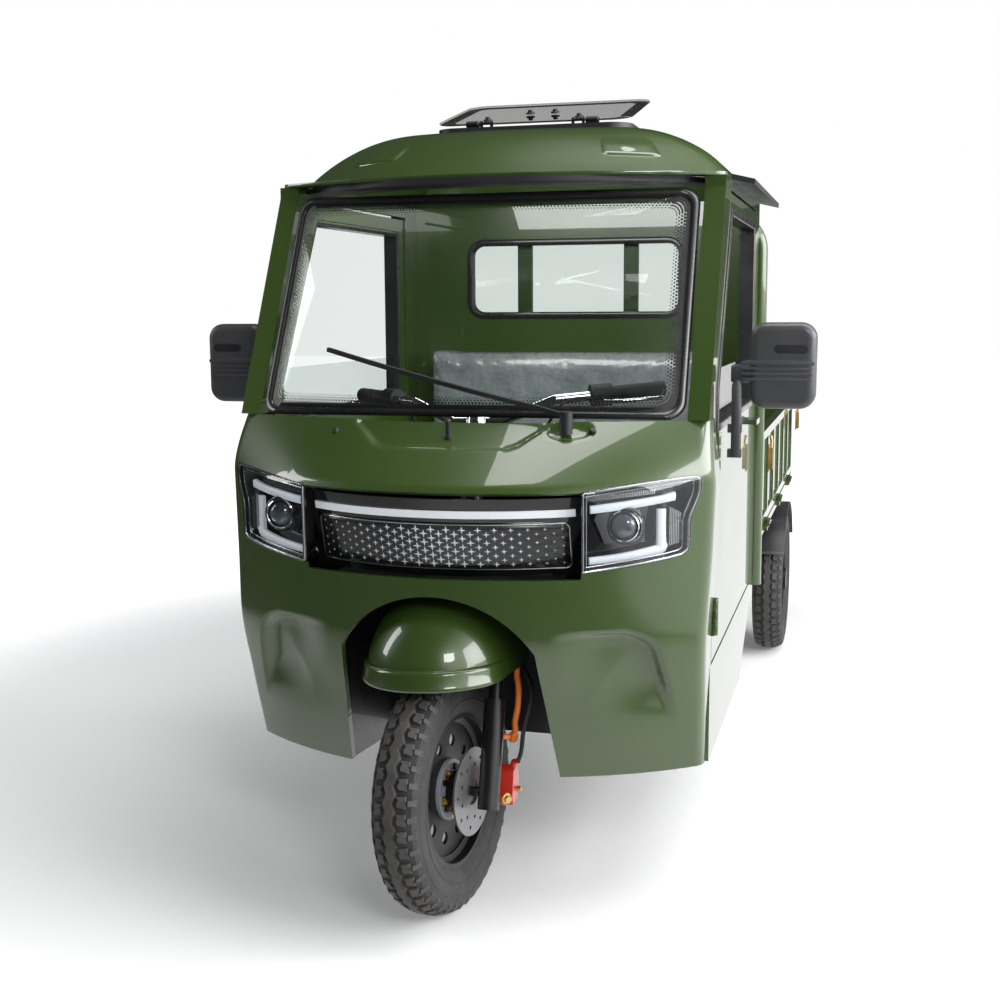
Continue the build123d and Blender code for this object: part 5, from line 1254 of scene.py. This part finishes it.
hub_face = wheel_face(57)
barrel_face = wheel_face(30)
hub_middle = on_fork((0, 0, 0))
hub_axis = Vector(on_fork((1, 0, 0))) - Vector(hub_middle)
hub = Parts()
hub.lathe([(hub_face - 9, 62.4), (hub_face + 0.6, 63), (hub_face + 1.8, 61.5), (hub_face + 1.8, 41),
           (hub_face + 6, 33), (hub_face + 14, 29), (barrel_face - 0.5, 27), (barrel_face + 0.8, 25),
           (barrel_face + 0.8, 12), (hub_face, 12)], hub_middle, hub_axis, sides=56, closed=True)
hub.piece("front_hub", HUB_ALLOY, "steel", body="front_wheel", sharp=30)
bolts = Parts()
for k in range(HUB_BOLTS):
    angle = 2 * math.pi * (k + FIRST_BOLT) / HUB_BOLTS
    spot = on_fork((hub_face + 1.6, BOLT_CIRCLE * math.sin(angle), BOLT_CIRCLE * math.cos(angle)))
    bolts.lathe([(0, 10.5), (1.4, 10.5), (1.8, 9)], spot, hub_axis, sides=24)
    bolts.lathe([(1.6, 7.8), (6, 7.8), (7, 6.8)], spot, hub_axis, sides=6)
    bolts.lathe([(6.8, 4), (9.5, 4), (10.2, 3.2)], spot, hub_axis, sides=16)
bolts.piece("hub_bolts", ZINC, "steel", body="front_wheel", sharp=25)

BANJO, BANJO_AXIS = (121, 22, 236), (0.75, -0.66, 0)
CALIPER_OUTLINE = ((34, 232), (42, 214), (78, 222), (90, 262), (82, 288), (60, 296), (44, 286))
caliper = Parts()
caliper.lathe([(-17, 20), (-14, 23), (12, 24), (16, 22), (18, 19)], (110, 58, 232), hub_axis, sides=32)
caliper.lathe([(-14, 17), (-12, 19), (10, 20), (14, 17)], (112, 66, 266), hub_axis, sides=28)
caliper.loft([[(x, y, z) for y, z in CALIPER_OUTLINE] for x in (94, 97, 128, 131)])
caliper.tube([(124, 60, 288), (130, 56, 304), (140, 52, 308)], [8, 7, 5.5], sides=16)
red_caliper = caliper.piece("red_caliper", RED_CAST, "red_cast", body="steering", sharp=32)
bevel(red_caliper, 2, angle=35)
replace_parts(red_caliper, "brake_caliper")
fittings = Parts()
fittings.lathe([(0, 11), (2, 11), (2.5, 9)], BANJO, BANJO_AXIS, sides=24)
fittings.lathe([(2, 8.5), (9, 8.5), (10, 7.5)], BANJO, BANJO_AXIS, sides=6)
fittings.lathe([(0, 6), (8, 6), (8.5, 4)], (131, 74, 240), (1, 0, 0), sides=6)
fittings.piece("caliper_bolts", ZINC, "steel", body="steering", sharp=25)

PIPE_PATH = [(138, 52, 305), (146, 50, 330), (152, 50, 380), (168, 51, 450), (158, 62, 486), (138, 84, 506)]
GUARD_PATH = [(128, 46, 362), (134, 49, 372), (133, 50, 392), (139, 50, 425), (141, 50, 462), (136, 54, 488)]
GUARD_FOOT, GUARD_HEAD = (130, 46, 360), (136, 54, 488)
pipe = Parts()
pipe.tube(spline_points(PIPE_PATH, 40), 4.6)
pipe.piece("brake_pipe", RUBBER, "rubber", body="steering")
guard = Parts()
guard.tube(spline_points(GUARD_PATH, 24), [6, 8, 7] + [6.4] * 21)
guard.lathe([(-5, 11), (0, 12), (5, 11)], GUARD_FOOT, (1, -0.4, 0), sides=20)
for node, end in (("steering_fork", GUARD_FOOT), ("front_mudguard", GUARD_HEAD)):
    found, foot, normal, index = nodes[node].closest_point_on_mesh(at(*end))
    guard.tube([end, measured(foot)], 6)
guard.piece("orange_guard", ORANGE, "red_cast", body="steering")


# Controls: brake levers and their cables at the grips
PERCH_REACH = 142


def middle_of(points):
    return sum(points, Vector()) / len(points)


def grip_axes(points, sign):
    """Where a brake lever is held, and the directions along the grip and ahead of it."""
    points = [point for point in points if point.x * sign > 0]
    reach = max(point.x * sign for point in points)
    tip = middle_of([point for point in points if point.x * sign > reach - 6])
    inner = middle_of([point for point in points if 95 < (point - tip).length < 140])
    along = (inner - tip).normalized()
    ahead = Vector((0, 0, 1)).cross(along).normalized()
    if ahead.y > 0:
        ahead = -ahead
    return tip + along * PERCH_REACH, along, (ahead + Vector((0, 0, -0.5))).normalized()


# Places from the root of a lever: ahead of the grip, along it, and upward
LEVER_PATH = ((22, 0), (29, -10), (33, -42), (33, -84), (31, -118), (34, -132))
CABLE_PATH = ((24, 6, 0), (34, 40, 14), (38, 88, 4), (26, 118, -46))
grip_points = [Vector(measured(vertex.co)) for vertex in nodes["handlebar_grips"].data.vertices]
levers = Parts()
perches = Parts()
cables = Parts()
for sign in (1, -1):
    root, along, ahead = grip_axes(grip_points, sign)
    levers.tube(spline_points([root + ahead * forth + along * inward for forth, inward in LEVER_PATH], 36),
                [4.5] * 30 + [5, 5.4, 5.8, 5.8, 5, 3], sides=14)
    perches.lathe([(-14, 16), (-11, 19), (11, 19), (14, 16)], root, along, sides=28)
    perches.tube([root + ahead * 14, root + ahead * 27], [10, 8], sides=14)
    cables.tube(spline_points([root + ahead * forth + along * inward + Vector((0, 0, up))
                               for forth, inward, up in CABLE_PATH], 30), 3.2, sides=10)
levers.piece("brake_levers", CHROME, "chrome", body="steering")
perches.piece("lever_perches", BLACK_PLASTIC, "black_plastic", body="steering")
cables.piece("lever_cables", RUBBER, "rubber", body="steering")


# Doors and boards: rubber run round the window, the strip under the glass, and the latches
WINDOW_OUTLINE = [(290, 985), (290, 1068), (512, 1442), (1090, 1442), (1090, 985)]
RUN_SECTION = ((-7, 509.5), (-7, 512), (-4, 513.6), (5, 513.6), (8, 511.5), (8, 474), (-7, 471.5))
LATCH_STATIONS = (1352, 2716)
run = Parts()
run.hoop([[(x, y, z) for y, z in inset_outline(WINDOW_OUTLINE, inset)] for inset, x in RUN_SECTION])
run.box((509, 514), (288, 1092), (976, 989))
latch = Parts()
for y in LATCH_STATIONS:
    latch.box((539.6, 543), (y - 17, y + 17), (770, 846))
    latch.box((543, 553), (y - 8, y + 8), (776, 838))
    latch.tube([(548, y, 836), (549, y, 856), (546, y, 872)], [4, 4, 5])
    latch.lathe([(0, 8), (7, 8), (8, 6.5)], (543, y, 784), (1, 0, 0), sides=20)
for sign, name in SIDES:
    bevel(run.sided(sign).piece("window_run_" + name, GASKET, "rubber", body=name + "_door"), 1, angle=35)
    latch.sided(sign).piece("board_latches_" + name, ZINC, "steel", body=name + "_drop_side", sharp=30)


# Washer nozzle, capped stud and the wiper's cap on the hood
def on_hood(x, z):
    return on_nose(x, z, nose_relief(x, z))


NOZZLE_PLACE, NOZZLE_HEIGHT, NOZZLE_RADIUS = (4, 985), 36, 5.5
STUD_CAPS = ((290, 992, 6, 8), (-250, 985, 6, 4))
nozzle = Parts()
nozzle.lathe([(-4, 9), (2, 9), (3, NOZZLE_RADIUS), (NOZZLE_HEIGHT - 8, NOZZLE_RADIUS),
              (NOZZLE_HEIGHT - 4, NOZZLE_RADIUS + 1.5), (NOZZLE_HEIGHT, NOZZLE_RADIUS)],
             on_hood(*NOZZLE_PLACE), (0, -0.12, 1), sides=20)
for x, z, radius, height in STUD_CAPS:
    nozzle.lathe([(-3, radius + 2), (1, radius + 2), (height, radius - 1)], on_hood(x, z), nose_normal(x, z),
                 sides=20)
nozzle.piece("hood_fittings", BLACK_PLASTIC, "black_plastic")


# Seat: stuffed cushions under a loose clear film, blown up by cloth simulation
PAD_VOXEL, PAD_START_INSET, PAD_SWELL, PAD_ROUNDING = 8, 7, 12, 16
CLOTH_STEPS = 20


def bake(piece):
    """Applies what the piece's modifiers make of its mesh."""
    graph = bpy.context.evaluated_depsgraph_get()
    mesh = bpy.data.meshes.new_from_object(piece.evaluated_get(graph))
    for polygon in mesh.polygons:
        polygon.use_smooth = True
    piece.modifiers.clear()
    piece.data = mesh


def rounded_block(name, low, high):
    """Box with rounded edges, remeshed into even cells."""
    form = bmesh.new()
    bmesh.ops.create_cube(form, size=1)
    middle, size = (low + high) / 2, high - low
    for vertex in form.verts:
        vertex.co = at(*(middle + Vector([vertex.co[k] * size[k] for k in range(3)])))
    bmesh.ops.bevel(form, geom=form.edges[:], offset=PAD_ROUNDING * MM, segments=4, profile=0.5,
                    affect="EDGES")
    mesh = bpy.data.meshes.new(name)
    form.to_mesh(mesh)
    form.free()
    piece = hold(name, mesh, SEAT_FILM, "grey_vinyl", sharp=None)
    remesh = piece.modifiers.new("remesh", "REMESH")
    remesh.mode = "VOXEL"
    remesh.voxel_size = PAD_VOXEL * MM
    bake(piece)
    return piece


def blow_up(piece):
    """Runs a cloth simulation with inner pressure and keeps its result."""
    cloth = piece.modifiers.new("cloth", "CLOTH")
    cloth.settings.use_pressure = True
    cloth.settings.uniform_pressure_force = 4
    cloth.settings.effector_weights.gravity = 0
    cloth.settings.mass = 0.3
    cloth.settings.tension_stiffness = 12
    cloth.settings.bending_stiffness = 0.6
    cloth.collision_settings.use_collision = False
    for step in range(1, CLOTH_STEPS + 1):
        bpy.context.scene.frame_set(step)
    bake(piece)
    bpy.context.scene.frame_set(1)


def padded_block(name, node):
    """Cushion that fills the room of its solid, with crowned faces and pulled-in sides."""
    low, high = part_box(node)
    inset = Vector((PAD_START_INSET,) * 3)
    piece = rounded_block(name, Vector(measured(low)) + inset, Vector(measured(high)) - inset)
    start = [vertex.co.copy() for vertex in piece.data.vertices]
    blow_up(piece)
    limit = PAD_SWELL * MM
    for vertex, place in zip(piece.data.vertices, start):
        move = vertex.co - place
        if move.length > limit:
            vertex.co = place + move.normalized() * limit
    smooth = piece.modifiers.new("smooth", "SUBSURF")
    smooth.levels = 1
    smooth.render_levels = 1
    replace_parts(piece, node)


padded_block("seat_pad", "seat_cushion")
padded_block("back_pad", "seat_backrest")


# Floor, backdrop and lights
FLOOR_HALF = 30
floor_mesh = bpy.data.meshes.new("floor")
floor_corners = [(FLOOR_HALF * a, FLOOR_HALF * b, 0) for a, b in ((-1, -1), (1, -1), (1, 1), (-1, 1))]
floor_mesh.from_pydata(floor_corners, [], [(0, 1, 2, 3)])
floor = bpy.data.objects.new("floor", floor_mesh)
bpy.context.scene.collection.objects.link(floor)


def smooth_range(tree, factor, start, end, low, high):
    """A value that goes smoothly from one level to another as a factor grows."""
    change = tree.nodes.new("ShaderNodeMapRange")
    change.interpolation_type = "SMOOTHSTEP"
    for socket, value in (("From Min", start), ("From Max", end), ("To Min", low), ("To Max", high)):
        change.inputs[socket].default_value = value
    tree.links.new(factor, change.inputs["Value"])
    return change.outputs["Result"]


def floor_shade(tree, tone, near, far, near_reach, far_reach, side_glow=0):
    """Floor whose own glow changes with distance from the truck, and grows on its left."""
    place = tree.nodes.new("ShaderNodeNewGeometry")
    reach = tree.nodes.new("ShaderNodeVectorMath")
    reach.operation = "LENGTH"
    tree.links.new(place.outputs["Position"], reach.inputs[0])
    strength = smooth_range(tree, reach.outputs["Value"], near_reach, far_reach, near, far)
    shader = tree.nodes.new("ShaderNodeBsdfPrincipled")
    shader.inputs["Base Color"].default_value = (tone, tone, tone, 1)
    shader.inputs["Roughness"].default_value = 1
    shader.inputs["Specular IOR Level"].default_value = 0
    shader.inputs["Emission Color"].default_value = (1, 1, 1, 1)
    if side_glow:
        strength = brighter_left(tree, place, strength, side_glow)
    tree.links.new(strength, shader.inputs["Emission Strength"])
    return shader.outputs["BSDF"]


def along_floor(tree, place, direction, start, end, low, high):
    """A value that rises across the floor in one direction."""
    reach = tree.nodes.new("ShaderNodeVectorMath")
    reach.operation = "DOT_PRODUCT"
    reach.inputs[1].default_value = direction
    tree.links.new(place.outputs["Position"], reach.inputs[0])
    return smooth_range(tree, reach.outputs["Value"], start, end, low, high)


def combined(tree, operation, first, second):
    """Two values joined by an operation of the Math node."""
    joined = tree.nodes.new("ShaderNodeMath")
    joined.operation = operation
    tree.links.new(first, joined.inputs[0])
    tree.links.new(second, joined.inputs[1])
    return joined.outputs["Value"]


def brighter_left(tree, place, strength, side_glow):
    """A glow that is dimmed on the vehicle's right and stronger on its left and behind it."""
    dimmed = combined(tree, "MULTIPLY", strength, along_floor(tree, place, (1, 0, 0), -1.0, 0.0, 0.4, 1))
    return combined(tree, "MAXIMUM", dimmed, along_floor(tree, place, (1, 0.5, 0), 0.9, 1.7, 0, side_glow))


def mixed(tree, ray, first, second):
    """The second shade for one kind of ray, and the first for all others."""
    mix = tree.nodes.new("ShaderNodeMixShader")
    tree.links.new(ray, mix.inputs["Fac"])
    tree.links.new(first, mix.inputs[1])
    tree.links.new(second, mix.inputs[2])
    return mix.outputs["Shader"]


floor_material, floor_tree, floor_shader = new_material("floor")
floor_tree.nodes.remove(floor_shader)
floor_mesh.materials.append(floor_material)
floor_path = floor_tree.nodes.new("ShaderNodeLightPath")
floor_plain = floor_tree.nodes.new("ShaderNodeBsdfDiffuse")
floor_plain.inputs["Color"].default_value = (0.6, 0.61, 0.61, 1)
seen_floor = floor_shade(floor_tree, 0.9, 0.12, 1.0, 1.7, 3.4)
shade = mixed(floor_tree, floor_path.outputs["Is Diffuse Ray"], seen_floor, floor_plain.outputs["BSDF"])
mirrored_floor = floor_shade(floor_tree, 0.06, 1.1, 0.02, 1.9, 3.0, 1.1)
shade = mixed(floor_tree, floor_path.outputs["Is Glossy Ray"], shade, mirrored_floor)
floor_tree.links.new(shade, floor_tree.nodes["Material Output"].inputs["Surface"])

# White room, which mirrors and paint see as a bright left side and a dim front and right
world = bpy.data.worlds.new("studio")
bpy.context.scene.world = world
world.use_nodes = True
tree = world.node_tree
background = tree.nodes["Background"]
background.inputs["Color"].default_value = (0.9, 0.95, 1.0, 1)
background.inputs["Strength"].default_value = 0.16
path = tree.nodes.new("ShaderNodeLightPath")
white = tree.nodes.new("ShaderNodeBackground")
white.inputs["Color"].default_value = (1, 1, 1, 1)
mirrored_room = tree.nodes.new("ShaderNodeBackground")
mirrored_room.inputs["Color"].default_value = (1, 1, 1, 1)
direction = tree.nodes.new("ShaderNodeTexCoord")
sideways = tree.nodes.new("ShaderNodeSeparateXYZ")
tree.links.new(direction.outputs["Generated"], sideways.inputs["Vector"])
room_glow = smooth_range(tree, sideways.outputs["X"], 0.2, 0.9, 0.04, 1.5)
tree.links.new(room_glow, mirrored_room.inputs["Strength"])
room = mixed(tree, path.outputs["Is Glossy Ray"], background.outputs["Background"],
             mirrored_room.outputs["Background"])
room = mixed(tree, path.outputs["Is Camera Ray"], room, white.outputs["Background"])
room = mixed(tree, path.outputs["Is Transmission Ray"], room, white.outputs["Background"])
tree.links.new(room, tree.nodes["World Output"].inputs["Surface"])


def softbox(name, place, target, width, height, power):
    """Rectangular light aimed at a place."""
    lamp = bpy.data.lights.new(name, "AREA")
    lamp.shape = "RECTANGLE"
    lamp.size = width
    lamp.size_y = height
    lamp.energy = power
    holder = bpy.data.objects.new(name, lamp)
    bpy.context.scene.collection.objects.link(holder)
    start, end = at(*place), at(*target)
    aim = (end - start).to_track_quat("-Z", "Y").to_matrix().to_4x4()
    holder.matrix_world = Matrix.Translation(start) @ aim


softbox("overhead", (1500, 900, 4400), (200, 700, 0), 2.4, 4.4, 165)
softbox("left_bank", (4200, 300, 2300), (0, 700, 800), 5.0, 2.2, 245)
softbox("right_bank", (-4200, -300, 2600), (0, 600, 700), 0.9, 2.4, 40)
softbox("front_bank", (3000, -4400, 3600), (0, 300, 800), 1.6, 1.2, 90)
softbox("cab_fill", (0, 560, 1560), (0, 1080, 900), 0.7, 0.2, 5)
